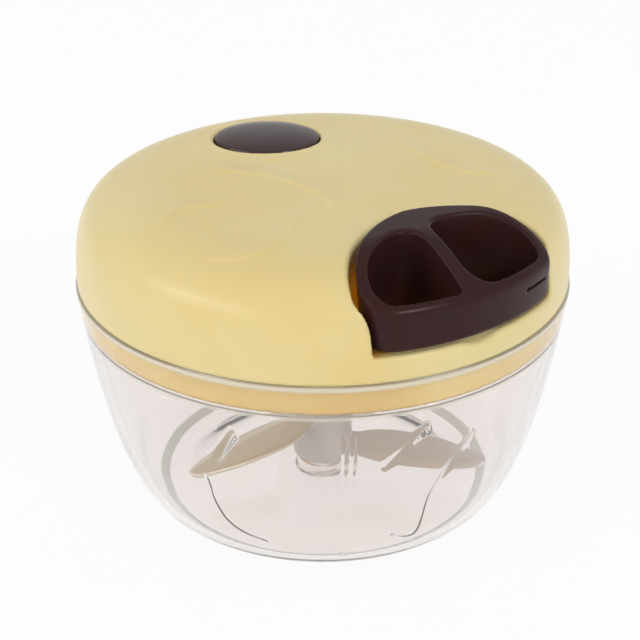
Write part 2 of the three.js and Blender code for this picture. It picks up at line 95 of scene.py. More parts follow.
SHELL_BOTTOM = 61.6
LID_RADIUS = 62.0
LID_WALL = 2.2
SIDE_TOP = 66.3
CROWN_RADIUS = 46.0
CROWN = 85.4
CROWN_RISE = 0.8
CROWN_SHARE = 0.55
CROWN_OUT = 12.5
CROWN_DOWN = 1.9
SHOULDER_IN = 0.7
SHOULDER_DOWN = 5.4
CEILING = 83.2
SCREW_CIRCLE = 50.0
SCREW_AZIMUTHS = (-27, 97, 153, -83)
SCREW_BOSS = 3.8
SCREW_PILOT = 1.7
PILOT_DEPTH = 9.3
SINK_RADIUS = 3.0
SINK_DEPTH = 0.95
BEARING_RADIUS = 6.4
BEARING_BOTTOM = 81.7
STUB_RADIUS = 4.4
SEAT_GAP = 0.3
PLATE_BOTTOM = 62.2
PLATE_TOP = 64.2
SKIRT_RADIUS = 59.4
SKIRT_WALL = 1.8
SKIRT_BOTTOM = 53.3
SHAFT_BORE = 4.6
ARBOR_RADIUS = 6.6
ARBOR_TOP = 71.2

HANDLE_AZIMUTH = 35.0
NICHE_FLOOR = 68.0
NICHE_GAP = 1.6
NICHE_TAPER = 2.0
TAPER_RANGE = (50.0, 55.5)
HANDLE_BOTTOM = 68.6
FRONT_EDGE = 79.0
FRONT_SLOPE = 0.62
HANDLE_PROUD = 2.4
GRIP_FRONT = 61.6
GRIP_HALF_WIDTH = 26.0
GRIP_CENTRE = 52.0
GRIP_BACK_DEPTH = 20.0
GRIP_POWER = 1.6
HOLE_HALF_WIDTH = 22.7
HOLE_BACK_DEPTH = 12.9
HOLE_FRONT = 59.6
BAR_WIDTH = 3.6
BAR_ACROSS = -2.2
GRIP_DRAFT = 0.075
DRAFT_TOP = 84.5
POCKET_BACK = 34.2
POCKET_FRONT = 38.9
POCKET_HALF_WIDTH = 2.35
POCKET_TOP = 79.1
CORD_LEVEL = 76.6
CORD_RADIUS = 1.1
CORD_BORE = 1.4
KNOT_RADIUS = 2.2
GUIDE_BACK = 27.2
GUIDE_FRONT = 31.6
GUIDE_BORE = 1.6
GUIDE_BARREL = 3.0
GUIDE_FLANGE = 4.0

PLUG_CENTRE = (-14.75, 25.55)
PLUG_RADIUS = 13.7
PLUG_BOTTOM = 83.6
PLUG_RIM = 86.35
PLUG_TOP = 88.0
PLUG_SQUASH = 0.86
PLUG_STEM_BOTTOM = 74.6
PLUG_STEM_RADIUS = 5.8
PLUG_STEM_INNER = 4.4
WELL_RADIUS = 14.0
WELL_WALL = 1.6
WELL_SEAT = 83.3
FILLER_BORE = 6.1

SOCKET_BOTTOM = 51.6
SOCKET_ROOF = 59.6
SOCKET_TOP = 61.8
SOCKET_RADIUS = 8.2
SOCKET_HEX = 6.0
AXLE_HOLE = 1.8
WASHER_RADIUS = 4.0
WASHER_BOTTOM = 58.8
WASHER_TOP = 59.3


# Camera: the lens and distance were fitted to the photograph's outlines
CAMERA_ELEVATION = 27.59
CAMERA_DISTANCE = 0.380
CAMERA_TARGET = (0.0, 0.0, 0.04588)
CAMERA_LENS = 82.12
CAMERA_SHIFT = -0.0044


def add_camera():
    """Camera straight in front of the object and above it, turned down to its middle."""
    elevation = math.radians(CAMERA_ELEVATION)
    camera = bpy.data.cameras.new("camera")
    camera.lens = CAMERA_LENS
    camera.sensor_width = 36
    camera.shift_x = CAMERA_SHIFT
    camera.clip_start = 0.01
    eye = bpy.data.objects.new("camera", camera)
    eye.location = (
        CAMERA_TARGET[0],
        CAMERA_TARGET[1] - CAMERA_DISTANCE * math.cos(elevation),
        CAMERA_TARGET[2] + CAMERA_DISTANCE * math.sin(elevation),
    )
    eye.rotation_euler = (math.pi / 2 - elevation, 0, 0)
    bpy.context.scene.collection.objects.link(eye)
    bpy.context.scene.camera = eye


add_camera()


# Curves
def bezier(controls, count):
    """Bezier curve of any degree: the controls weighted by the binomial terms."""
    share = np.linspace(0, 1, count)[:, None]
    degree = len(controls) - 1
    controls = np.asarray(controls, float)
    return sum(
        math.comb(degree, order) * share**order * (1 - share) ** (degree - order) * control
        for order, control in enumerate(controls)
    )


def through(points, count):
    """Uniform Catmull-Rom curve through the points, its end points doubled."""
    points = np.asarray(points, float)
    padded = np.vstack([points[:1], points, points[-1:]])
    place = np.linspace(0, len(points) - 1, count)
    start = np.minimum(place.astype(int), len(points) - 2)
    share = (place - start)[:, None]
    before, first, second, after = (padded[start + step] for step in range(4))
    return 0.5 * (
        2 * first
        + (second - before) * share
        + (2 * before - 5 * first + 4 * second - after) * share**2
        + (3 * first - before - 3 * second + after) * share**3
    )


def eased(corners, steps=6):
    """Profile through corners (radius, height, ease): each corner with an ease is a parabola that
    starts and ends that far from it along its two sides."""
    corners = [tuple(map(float, corner)) + (0.0,) * (3 - len(corner)) for corner in corners]
    pieces = []
    for index, (radius, height, ease) in enumerate(corners):
        here = np.array([radius, height])
        if ease == 0 or index in (0, len(corners) - 1):
            pieces.append(here[None])
            continue
        before = np.array(corners[index - 1][:2]) - here
        after = np.array(corners[index + 1][:2]) - here
        start = here + before / np.linalg.norm(before) * ease
        end = here + after / np.linalg.norm(after) * ease
        pieces.append(bezier([start, here, end], steps))
    return np.vstack(pieces)


# Meshes
def area_normals(points, triangles):
    """Normal of each point: the sum of its triangles' normals, each weighted by its area."""
    first, second, third = (points[triangles[:, corner]] for corner in range(3))
    across = np.cross(second - first, third - first)
    normals = np.zeros_like(points)
    for corner in range(3):
        np.add.at(normals, triangles[:, corner], across)
    return normals / np.maximum(np.linalg.norm(normals, axis=1), 1e-12)[:, None]


def split(faces):
    """The two triangles of each four-sided face, without those that have a side of no length."""
    triangles = np.vstack([faces[:, [0, 1, 2]], faces[:, [0, 2, 3]]])
    first, second, third = triangles.T
    return triangles[(first != second) & (second != third) & (third != first)]


def put(name, points, faces, normals=None):
    """Object with smooth faces from points in millimetres, faced outwards, and shaded by its normals."""
    triangles = split(faces)
    first, second, third = (points[triangles[:, corner]] for corner in range(3))
    if np.einsum("ij,ij->i", first, np.cross(second, third)).sum() < 0:
        faces = faces[:, ::-1]
        triangles = triangles[:, ::-1]
    if normals is None:
        normals = area_normals(points, triangles)
    repeated = np.stack([faces[:, corner] == faces[:, corner - 3] for corner in range(4)], 1)
    whole = faces[~repeated.any(1)]
    folded = split(faces[repeated.any(1)]) if repeated.any() else np.zeros((0, 3), int)
    mesh = bpy.data.meshes.new(name)
    mesh.from_pydata((points * MM).tolist(), [], whole.tolist() + folded.tolist())
    mesh.polygons.foreach_set("use_smooth", np.ones(len(mesh.polygons), bool))
    mesh.update()
    mesh.normals_split_custom_set_from_vertices(normals.tolist())
    piece = bpy.data.objects.new(name, mesh)
    bpy.context.scene.collection.objects.link(piece)
    return piece


def put_grid(name, points, close_rows=False, close_columns=True):
    """Object from a grid of points, rows by columns; rows at a pole and closed seams share points."""
    rows, columns = points.shape[:2]
    row = np.arange(rows if close_rows else rows - 1)[:, None]
    column = np.arange(columns if close_columns else columns - 1)[None, :]
    next_row = (row + 1) % rows
    next_column = (column + 1) % columns
    corners = np.broadcast_arrays(
        row * columns + column,
        row * columns + next_column,
        next_row * columns + next_column,
        next_row * columns + column,
    )
    faces = np.stack(corners, -1).reshape(-1, 4)
    flat = points.reshape(-1, 3)
    _, kept, merged = np.unique(np.round(flat, 5), axis=0, return_index=True, return_inverse=True)
    return put(name, flat[kept], merged.reshape(-1)[faces])


def turned_grid(profile, azimuths, centre=(0, 0)):
    """Profile (radius, height) carried round a vertical axis: x = radius sin, y = -radius cos."""
    radius = profile[:, 0][:, None]
    return np.stack([
        centre[0] + radius * np.sin(azimuths),
        centre[1] - radius * np.cos(azimuths),
        np.broadcast_to(profile[:, 1][:, None], (len(profile), len(azimuths))),
    ], -1)


def full_turn(steps):
    """Angles of equal steps round a circle."""
    return np.linspace(0, 2 * np.pi, steps, endpoint=False)


def put_turned(name, corners, steps=96, centre=(0, 0), closed=False):
    """Turned piece from the corners of its profile; a closed profile is a ring that misses the axis."""
    return put_grid(name, turned_grid(eased(corners), full_turn(steps), centre), close_rows=closed)


def to_azimuth(points, azimuth):
    """Points turned about the vertical axis, so that +X goes to the azimuth."""
    turn = math.radians(azimuth - 90)
    along, across = points[..., 0], points[..., 1]
    return np.stack([
        along * math.cos(turn) - across * math.sin(turn),
        along * math.sin(turn) + across * math.cos(turn),
        points[..., 2],
    ], -1)


def from_azimuth(points, azimuth):
    """The inverse of to_azimuth."""
    return to_azimuth(points, 180 - azimuth)


# Distance fields: negative inside, and about the distance in millimetres near the surface
def meet(first, second, ease):
    """What lies inside both: the larger distance, with a quadratic ease where they are alike."""
    corner = np.maximum(ease - np.abs(first - second), 0) / ease
    return np.maximum(first, second) + corner * corner * ease / 4


def join(first, second, ease):
    """What lies inside either of the two."""
    return -meet(-first, -second, ease)


def cut(first, second, ease):
    """What lies inside the first and outside the second."""
    return meet(first, -second, ease)


def half_oval(along, across, depth, half_width, power=2.0):
    """Distance to half a superellipse about 0 that goes on as two straight sides where along is positive.
    With a = |along / depth|, b = |across / half_width| and k = (a^n + b^n)^(1/n), it is
    (k - 1) / |grad k|."""
    back = np.abs(np.minimum(along, 0)) / depth
    side = np.abs(across) / half_width
    size = np.maximum((back**power + side**power) ** (1 / power), 0.05)
    slope = size ** (1 - power) * np.hypot(back ** (power - 1) / depth, side ** (power - 1) / half_width)
    return np.maximum((size - 1) / np.maximum(slope, 1e-3), -depth)


def slopes(field, points, reach=0.05):
    """Gradient of a field by central differences."""
    steps = np.eye(3) * reach
    return np.stack([(field(points + step) - field(points - step)) / (2 * reach) for step in steps], -1)


def skin(field, low, high, step):
    """Surface where the field is 0, by surface nets: each cell of the grid that the surface crosses gets
    the mean of its edges' crossings, each crossed edge gets a face, and the points are then moved onto
    the surface along the gradient. Gives points, faces and normals."""
    axes = [np.arange(start, end + step, step) for start, end in zip(low, high)]
    corners = np.stack(np.meshgrid(*axes, indexing="ij"), -1)
    value = field(corners)
    cells = np.array(value.shape) - 1
    total = np.zeros((*cells, 3))
    hits = np.zeros(cells)
    crossings = []
    for axis in range(3):
        second, third = (axis + 1) % 3, (axis + 2) % 3
        order = (axis, second, third)
        level = value.transpose(order)
        near, far = level[:-1], level[1:]
        crossed = (near < 0) != (far < 0)
        share = np.where(crossed, near / np.where(crossed, near - far, 1), 0)
        place = corners.transpose(*order, 3)[:-1].copy()
        place[..., axis] += share * step
        place *= crossed[..., None]
        total_view = total.transpose(*order, 3)
        hits_view = hits.transpose(order)
        for up in (0, 1):
            for over in (0, 1):
                part = (slice(None), slice(up, up + cells[second]), slice(over, over + cells[third]))
                total_view += place[part]
                hits_view += crossed[part]
        crossings.append((order, crossed[:, 1:-1, 1:-1], near[:, 1:-1, 1:-1] < 0))
    used = hits > 0
    number = np.full(tuple(cells), -1)
    number[used] = np.arange(used.sum())
    points = total[used] / hits[used][:, None]
    faces = []
    for order, crossed, inward in crossings:
        cell = number.transpose(order)
        around = [cell[:, :-1, :-1], cell[:, 1:, :-1], cell[:, 1:, 1:], cell[:, :-1, 1:]]
        quads = np.stack([side[crossed] for side in around], -1)
        faces.append(np.where(inward[crossed][:, None], quads, quads[:, ::-1]))
    for _ in range(6):
        slope = slopes(field, points)
        move = field(points) / np.maximum((slope**2).sum(-1), 0.1)
        points = points - slope * np.clip(move, -step / 2, step / 2)[:, None]
    normals = slopes(field, points)
    return points, np.vstack(faces), normals / np.linalg.norm(normals, axis=1)[:, None]


# Shader maths
class Wire:
    """An output of a material's nodes; plain arithmetic on it adds Math nodes."""

    def __init__(self, finish, socket):
        self.finish = finish
        self.socket = socket

    def _maths(self, operation, *values):
        return self.finish.add("ShaderNodeMath", {"operation": operation}, dict(enumerate(values)))

    def __add__(self, other):
        return self._maths("ADD", self, other)

    __radd__ = __add__

    def __sub__(self, other):
        return self._maths("SUBTRACT", self, other)

    def __rsub__(self, other):
        return self._maths("SUBTRACT", other, self)

    def __mul__(self, other):
        return self._maths("MULTIPLY", self, other)

    __rmul__ = __mul__

    def __truediv__(self, other):
        return self._maths("DIVIDE", self, other)

    def __rtruediv__(self, other):
        return self._maths("DIVIDE", other, self)

    def __pow__(self, other):
        return self._maths("POWER", self, other)

    def __abs__(self):
        return self._maths("ABSOLUTE", self)


def linear(*colour):
    """Linear red, green, blue and 1 of a colour given as it is seen, 0 to 255."""
    shares = [value / 255 for value in colour]
    return tuple(
        share / 12.92 if share <= 0.04045 else ((share + 0.055) / 1.055) ** 2.4 for share in shares
    ) + (1.0,)


class Finish:
    """One material, or the world: nodes whose sockets take numbers, colours or wires."""

    def __init__(self, name, store=bpy.data.materials):
        self.owner = store.new(name)
        self.owner.use_nodes = True
        self.nodes = self.owner.node_tree.nodes
        self.links = self.owner.node_tree.links
        self.nodes.clear()
        self.place = self.add("ShaderNodeTexCoord", output="Object")

    def add(self, kind, settings=None, inputs=None, output=0):
        """Adds a node: its settings first, then its sockets' values or wires, by name or number."""
        node = self.nodes.new(kind)
        for key, value in (settings or {}).items():
            if key == "stops":
                self._set_stops(node.color_ramp, value)
            else:
                setattr(node, key, value)
        for key, value in (inputs or {}).items():
            if isinstance(value, Wire):
                self.links.new(value.socket, node.inputs[key])
            else:
                node.inputs[key].default_value = value
        return Wire(self, node.outputs[output]) if node.outputs else None

    @staticmethod
    def _set_stops(ramp, stops):
        while len(ramp.elements) < len(stops):
            ramp.elements.new(1)
        for element, (position, colour) in zip(ramp.elements, stops):
            element.position = position
            element.color = colour

    def noise(self, scale, detail=2, place=None, roughness=0.5):
        """Noise of a number of features to the metre, about 0.5 in the mean."""
        inputs = {"Vector": place or self.place, "Scale": scale, "Detail": detail, "Roughness": roughness}
        return self.add("ShaderNodeTexNoise", {}, inputs, "Fac")

    def stretched(self, scale):
        """Object coordinates multiplied by a scale for each axis."""
        inputs = {0: self.place, 1: scale}
        return self.add("ShaderNodeVectorMath", {"operation": "MULTIPLY"}, inputs)

    def axes(self, place=None):
        """The three coordinates as wires."""
        node = self.add("ShaderNodeSeparateXYZ", {}, {0: place or self.place}).socket.node
        return [Wire(self, node.outputs[axis]) for axis in range(3)]

    def rise(self, value, low, high):
        """Smooth step of a value from 0 at low to 1 at high."""
        inputs = {"Value": value, "From Min": low, "From Max": high}
        return self.add("ShaderNodeMapRange", {"interpolation_type": "SMOOTHSTEP"}, inputs)

    def mix(self, share, first, second):
        """Colour between the first and the second."""
        inputs = {0: share, 6: first, 7: second}
        return self.add("ShaderNodeMix", {"data_type": "RGBA"}, inputs, 2)

    def rays(self, first, *others):
        """1 for the rays of any of these kinds and 0 for all others."""
        path = self.add("ShaderNodeLightPath").socket.node
        seen = Wire(self, path.outputs[first])
        for kind in others:
            inputs = {0: seen, 1: Wire(self, path.outputs[kind])}
            seen = self.add("ShaderNodeMath", {"operation": "MAXIMUM"}, inputs)
        return seen

    def bump(self, height, depth, strength=1.0, under=None):
        """Normal of a height that runs from 0 to 1 over a depth in metres."""
        inputs = {"Height": height, "Distance": depth, "Strength": strength}
        if under:
            inputs["Normal"] = under
        return self.add("ShaderNodeBump", {}, inputs)

    def end(self, **sockets):
        """Closes the material with a Principled shader; a socket's name is written with underscores."""
        inputs = {name.replace("_", " "): value for name, value in sockets.items()}
        return self.shade(self.add("ShaderNodeBsdfPrincipled", {}, inputs))

    def shade(self, shader, kind="ShaderNodeOutputMaterial"):
        """Closes the material, or the world, with a shader."""
        self.add(kind, {}, {"Surface": shader})
        return self.owner


# Materials
LID_YELLOW = linear(229, 212, 155)
LID_DEEP = linear(227, 205, 141)
# Painted amber shade and painted glow for the walls of the handle's niche
NICHE_PAINTED_SHADE = linear(206, 140, 30)
NICHE_PAINTED_GLOW = linear(144, 84, 8)
BASE_YELLOW = linear(238, 214, 136)
BASE_DEEP = linear(230, 198, 108)
DARK_BROWN = linear(54, 28, 27)
DARK_PURPLE = linear(52, 30, 33)
HUB_GREY = linear(196, 192, 188)
MILKY = linear(222, 216, 200)
# Painted shade along the outer edge of the bowl's foot
FOOT_PAINTED_SHADE = linear(150, 154, 136)
CLEAR_TINT = (0.933, 0.899, 0.887, 1)
CLEAR_DEEP = (0.923, 0.885, 0.869, 1)
SHADOW_TINT = (0.93, 0.91, 0.89, 1)


def moulded(name, colour, other, roughness, sheen=0.0, grain=0.3):
    """Moulded plastic: two close colours in slow clouds, a roughness that drifts a little, a fine
    satin grain and the shallow waves of a cooled skin."""
    finish = Finish(name)
    cloud = finish.noise(28, 3)
    fine = finish.noise(1900, 2)
    wave = finish.noise(60, 1)
    smear = finish.noise(140, 4)
    normal = finish.bump(fine, 0.00002, grain)
    normal = finish.bump(wave, 0.00025, 0.25, normal)
    return finish.end(
        Base_Color=finish.mix(finish.rise(cloud, 0.35, 0.7), colour, other),
        Roughness=roughness - 0.04 + 0.08 * smear,
        Normal=normal,
        Coat_Weight=sheen,
        Coat_Roughness=0.12,
        IOR=1.5,
    )


# Where painted shade turns the niche's walls amber and a painted glow lights them, in metres: behind,
# towards the front, up and to the left
PAINTED_SHADE_BACK = (0.024, 0.03)
PAINTED_SHADE_FRONT = (0.054, 0.0575)
PAINTED_GLOW_FRONT = (0.0495, 0.0535)
PAINTED_SHADE_TOP = (0.076, 0.0845)
NICHE_FOOT = (0.0676, 0.0679)
PAINTED_GLOW_FOOT = (0.0682, 0.069)
PAINTED_LIGHT_LEFT = (-0.01, 0.015)


def lid_yellow():
    """Pastel yellow satin plastic, with painted shade that makes it deeper and more amber on the walls of
    the handle's niche, and a painted glow there from emission.
    """
    finish = Finish("lid_yellow_satin")
    x, y, z = finish.axes()
    turn = math.radians(HANDLE_AZIMUTH)
    along = x * math.sin(turn) - y * math.cos(turn)
    across = x * math.cos(turn) + y * math.sin(turn)
    cloud = finish.noise(24, 3)
    fine = finish.noise(1700, 2)
    smear = finish.noise(120, 4)
    back = (along * 1000 - GRIP_CENTRE) / (GRIP_BACK_DEPTH + NICHE_GAP)
    back = finish.add("ShaderNodeMath", {"operation": "MINIMUM"}, {0: back, 1: 0.0})
    taper = NICHE_TAPER * finish.rise(along * 1000, *TAPER_RANGE)
    side = across * 1000 / (GRIP_HALF_WIDTH + NICHE_GAP - taper)
    spread = (abs(back) ** GRIP_POWER + abs(side) ** GRIP_POWER) ** (1 / GRIP_POWER)
    inside = 1 - finish.rise(spread, 0.99, 1.012)
    lower = (1 - finish.rise(z, *PAINTED_SHADE_TOP)) * finish.rise(z, *NICHE_FOOT)
    painted_light_wall = inside * finish.rise(along, *PAINTED_SHADE_BACK) * lower
    left = 1 - finish.rise(across, *PAINTED_LIGHT_LEFT)
    # Painted shade: an amber tone on the niche's walls where little light reaches
    painted_shade = painted_light_wall * (1 - finish.rise(along, *PAINTED_SHADE_FRONT)) * (0.3 + 0.55 * left)
    above_floor = 0.3 + 0.7 * finish.rise(z, *PAINTED_GLOW_FOOT)
    # Painted glow: emission on the niche's walls that stands in for light bounced between them
    painted_glow = painted_light_wall * above_floor * (1 - finish.rise(along, *PAINTED_GLOW_FRONT)) * left
    colour = finish.mix(finish.rise(cloud, 0.35, 0.7), LID_YELLOW, LID_DEEP)
    normal = finish.bump(fine, 0.00002, 0.3)
    return finish.end(
        Base_Color=finish.mix(painted_shade, colour, NICHE_PAINTED_SHADE),
        Emission_Color=finish.mix(painted_glow, (0, 0, 0, 1), NICHE_PAINTED_GLOW),
        Emission_Strength=1.0,
        Roughness=0.27 + 0.08 * smear,
        Normal=normal,
        Coat_Weight=0.08,
        Coat_Roughness=0.2,
        IOR=1.5,
        Specular_IOR_Level=0.3,
        Subsurface_Weight=0.25,
        Subsurface_Radius=(1.0, 0.5, 0.12),
        Subsurface_Scale=0.003,
    )


def dark_brown():
    """Dark purple-brown satin plastic: a little more purple in slow clouds."""
    finish = Finish("dark_brown_satin")
    fine = finish.noise(2400, 2)
    cloud = finish.noise(70, 3)
    smear = finish.noise(300, 4)
    return finish.end(
        Base_Color=finish.mix(finish.rise(cloud, 0.3, 0.75), DARK_BROWN, DARK_PURPLE),
        Roughness=0.22 + 0.08 * smear,
        Normal=finish.bump(fine, 0.000015, 0.35),
        IOR=1.5,
        Specular_IOR_Level=0.13,
    )


def plug_brown():
    """The handle's brown, polished."""
    finish = Finish("dark_brown_polished")
    fine = finish.noise(1500, 2)
    smear = finish.noise(400, 3)
    cloud = finish.noise(60, 3)
    return finish.end(
        Base_Color=finish.mix(finish.rise(cloud, 0.3, 0.75), DARK_BROWN, DARK_PURPLE),
        Roughness=0.2 + 0.08 * smear,
        Normal=finish.bump(fine, 0.00001, 0.2),
        IOR=1.5,
    )


# Where the bowl's rim, seat and foot turn milky, and where painted shade greys the foot's outer edge:
# heights in metres, and the radius of the foot's edge
RIM_MILK = (0.0601, 0.0607)
SEAT_MILK = ((0.0522, 0.0527), (0.0532, 0.0537))
FOOT_MILK = ((0.0002, 0.0005), (0.0018, 0.0024))
FOOT_EDGE = (0.0418, 0.0422)


def clear_plastic():
    """Clear moulded plastic with a faint warm tint, slow waves in its skin and a trace of haze; its rim,
    the seat below it and the foot scatter the light, and the foot's outer edge gets a painted grey shade."""
    finish = Finish("clear_plastic_moulded")
    wave = finish.noise(45, 1)
    haze = finish.noise(90, 3)
    tint = finish.mix(finish.rise(haze, 0.3, 0.7), CLEAR_TINT, CLEAR_DEEP)
    principled = finish.add("ShaderNodeBsdfPrincipled", {}, {
        "Base Color": tint,
        "Roughness": 0.02 + 0.03 * finish.rise(haze, 0.45, 0.8),
        "Normal": finish.bump(wave, 0.0002, 0.15),
        "Transmission Weight": 0.965,
        "IOR": 1.46,
    })
    x, y, z = finish.axes()
    rim = finish.rise(z, *RIM_MILK) * 0.7
    seat = finish.rise(z, *SEAT_MILK[0]) * (1 - finish.rise(z, *SEAT_MILK[1])) * 0.45
    # Painted shade: along the foot's outer edge, near the floor, the milky colour turns grey-green
    foot = finish.rise(z, *FOOT_MILK[0]) * (1 - finish.rise(z, *FOOT_MILK[1])) * 0.6
    foot = foot * finish.rise((x * x + y * y) ** 0.5, *FOOT_EDGE)
    haze_and_painted_shade = finish.mix(foot, MILKY, FOOT_PAINTED_SHADE)
    milky = finish.add("ShaderNodeBsdfPrincipled", {}, {"Base Color": haze_and_painted_shade, "Roughness": 0.3})
    body = finish.add("ShaderNodeMixShader", {}, {0: rim + seat + foot, 1: principled, 2: milky})
    shadow = finish.rays("Is Shadow Ray")
    window = finish.add("ShaderNodeBsdfTransparent", {}, {"Color": SHADOW_TINT})
    return finish.shade(finish.add("ShaderNodeMixShader", {}, {0: shadow, 1: body, 2: window}))


def brushed_steel(name, colour, roughness, metallic=1.0, patches=0.82, painted_cool_reflection=None):
    """Steel with fine scratches round its axis and a lighter and a darker tone in patches; where one is
    given, a cooler tone takes over across the middle as a painted reflection."""
    finish = Finish(name)
    scratches = finish.noise(1, 3, finish.stretched((260, 260, 2600)))
    smear = finish.noise(160, 4)
    fine = finish.noise(2200, 2)
    # Painted reflection: the colour turns to the cooler tone towards +X
    if painted_cool_reflection:
        colour = finish.mix(finish.rise(finish.axes()[0], -0.006, 0.01), colour, painted_cool_reflection)
    dark = finish.add("ShaderNodeMix", {"data_type": "RGBA", "blend_type": "MULTIPLY"}, {
        0: 1.0, 6: colour, 7: (patches, patches, patches, 1),
    }, 2)
    return finish.end(
        Base_Color=finish.mix(finish.rise(smear, 0.3, 0.75), colour, dark),
        Metallic=metallic,
        Roughness=roughness - 0.05 + 0.12 * scratches,
        Normal=finish.bump(scratches + fine * 0.5, 0.000006, 0.3),
    )


def braided_cord():
    """White braid: two sets of strands that cross, from the place along and round the cord."""
    finish = Finish("white_braided_cord")
    waves = [
        finish.add("ShaderNodeTexWave", {"bands_direction": "DIAGONAL"}, {
            "Vector": place, "Scale": 480.0, "Distortion": 0.4, "Detail": 1.0, "Detail Scale": 2.0,
        }, "Fac")
        for place in (finish.place, finish.stretched((1, -1, -1)))
    ]
    strands = finish.add("ShaderNodeMath", {"operation": "MAXIMUM"}, dict(enumerate(waves)))
    fuzz = finish.noise(5000, 2)
    return finish.end(
        Base_Color=finish.mix(strands, linear(198, 193, 184), linear(240, 237, 230)),
        Roughness=0.75 + 0.15 * fuzz,
        Normal=finish.bump(strands + fuzz * 0.2, 0.00012, 0.8),
        Sheen_Weight=0.2,
    )


MATERIALS = {
    "lid": lid_yellow(),
    "base": moulded("base_yellow_satin", BASE_YELLOW, BASE_DEEP, 0.38, 0.1),
    "dark": dark_brown(),
    "plug": plug_brown(),
    "clear": clear_plastic(),
    "hub": moulded("hub_grey_plastic", HUB_GREY, linear(182, 178, 175), 0.32, 0.2),
    "reel": moulded("reel_white_plastic", linear(232, 229, 221), linear(222, 218, 208), 0.45),
    # The blades' warm tone on one side and cool tone on the other are painted reflections of the yellow
    # lid and the white surroundings
    "blade": brushed_steel(
        "blade_steel_brushed", linear(222, 215, 197), 0.34, 0.6, 0.94, linear(226, 226, 240),
    ),
    "spring": brushed_steel("spring_steel_blued", linear(150, 152, 158), 0.32),
    "screw": brushed_steel("screw_steel_bright", linear(190, 190, 192), 0.26),
    "cord": braided_cord(),
}


def dress(piece, finish, body, *nodes):
    """Gives a piece its material and slot, its body, and the nodes that it stands for."""
    piece.data.materials.append(MATERIALS[finish])
    if body:
        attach(piece, body)
    if nodes:
        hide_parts(*nodes)
    return piece


# Bowl
RIB_DEPTH = 0.24
RIB_REACH = 55.0
RIB_SIDE = 0.45
RECESS_FLAT = 9.0
SLOPE_INSIDE = 4.4
SLOPE_OUTSIDE = 1.2
TURN_PULL = (-1.6, -2.2)
TURN_FLAT = 4.6
TURN_REACH = 8.0
# Ribs in the wall: points (azimuth, height), half width, and depth as a share
RIBS = (
    (((5.0, 46.0), (4.9, 38.0), (4.9, 25.0), (5.4, 7.5)), 0.3, 0.55),
    (((7.0, 46.0), (6.9, 38.0), (6.4, 25.0), (6.4, 7.5)), 0.3, 0.55),
    (((36.6, 40.6), (33.5, 35.5), (29.4, 29.1), (27.5, 23.9), (27.2, 17.0), (27.0, 13.2), (25.6, 11.0),
      (22.5, 11.2), (19.0, 13.0)), 0.45, 0.7),
    (((35.8, 39.5), (33.0, 35.5), (29.8, 29.8)), 0.8, 0.55),
    (((-29.3, 29.8), (-28.9, 27.0), (-28.6, 23.0), (-26.3, 16.8), (-22.0, 13.2), (-15.7, 11.3)),
     0.45, 0.7),
    (((-20.2, 45.6), (-24.9, 37.2)), 0.8, 0.8),
    (((23.4, 46.7), (14.4, 37.2)), 0.8, 0.8),
)


def distance_to_path(places, path):
    """Distance from each place to a path of straight stretches."""
    start, end = path[:-1], path[1:]
    stretch = end - start
    offset = places[..., None, :] - start
    share = (offset * stretch).sum(-1) / (stretch**2).sum(-1)
    nearest = start + np.clip(share, 0, 1)[..., None] * stretch
    return np.linalg.norm(places[..., None, :] - nearest, axis=-1).min(-1)


def smooth_step(value, low, high):
    """Smooth step of a value from 0 at low to 1 at high: 3 s^2 - 2 s^3."""
    share = np.clip((value - low) / (high - low), 0, 1)
    return share * share * (3 - 2 * share)


def rib_relief(azimuths, heights):
    """Height of the ribs above the inner wall: flat-topped ridges along curves through their points,
    which fall off smoothly at their sides."""
    relief = np.zeros(np.broadcast(azimuths, heights).shape)
    columns = np.flatnonzero(np.abs(azimuths) < 60)
    places = np.stack(np.broadcast_arrays(np.radians(azimuths[columns]) * RIB_REACH, heights), -1)
    for points, half_width, share in RIBS:
        curve = through(points, 8 * len(points))
        path = np.stack([np.radians(curve[:, 0]) * RIB_REACH, curve[:, 1]], -1)
        away = distance_to_path(places, path)
        ridge = RIB_DEPTH * share * (1 - smooth_step(away, half_width - RIB_SIDE, half_width + RIB_SIDE))
        relief[:, columns] = np.maximum(relief[:, columns], ridge)
    return relief


def bowl_azimuths():
    """Steps round the bowl in degrees: finer at the front, where the ribs are seen."""
    front = np.linspace(-60, 60, 360, endpoint=False)
    back = np.linspace(60, 300, 300, endpoint=False)
    return np.concatenate([front, back])


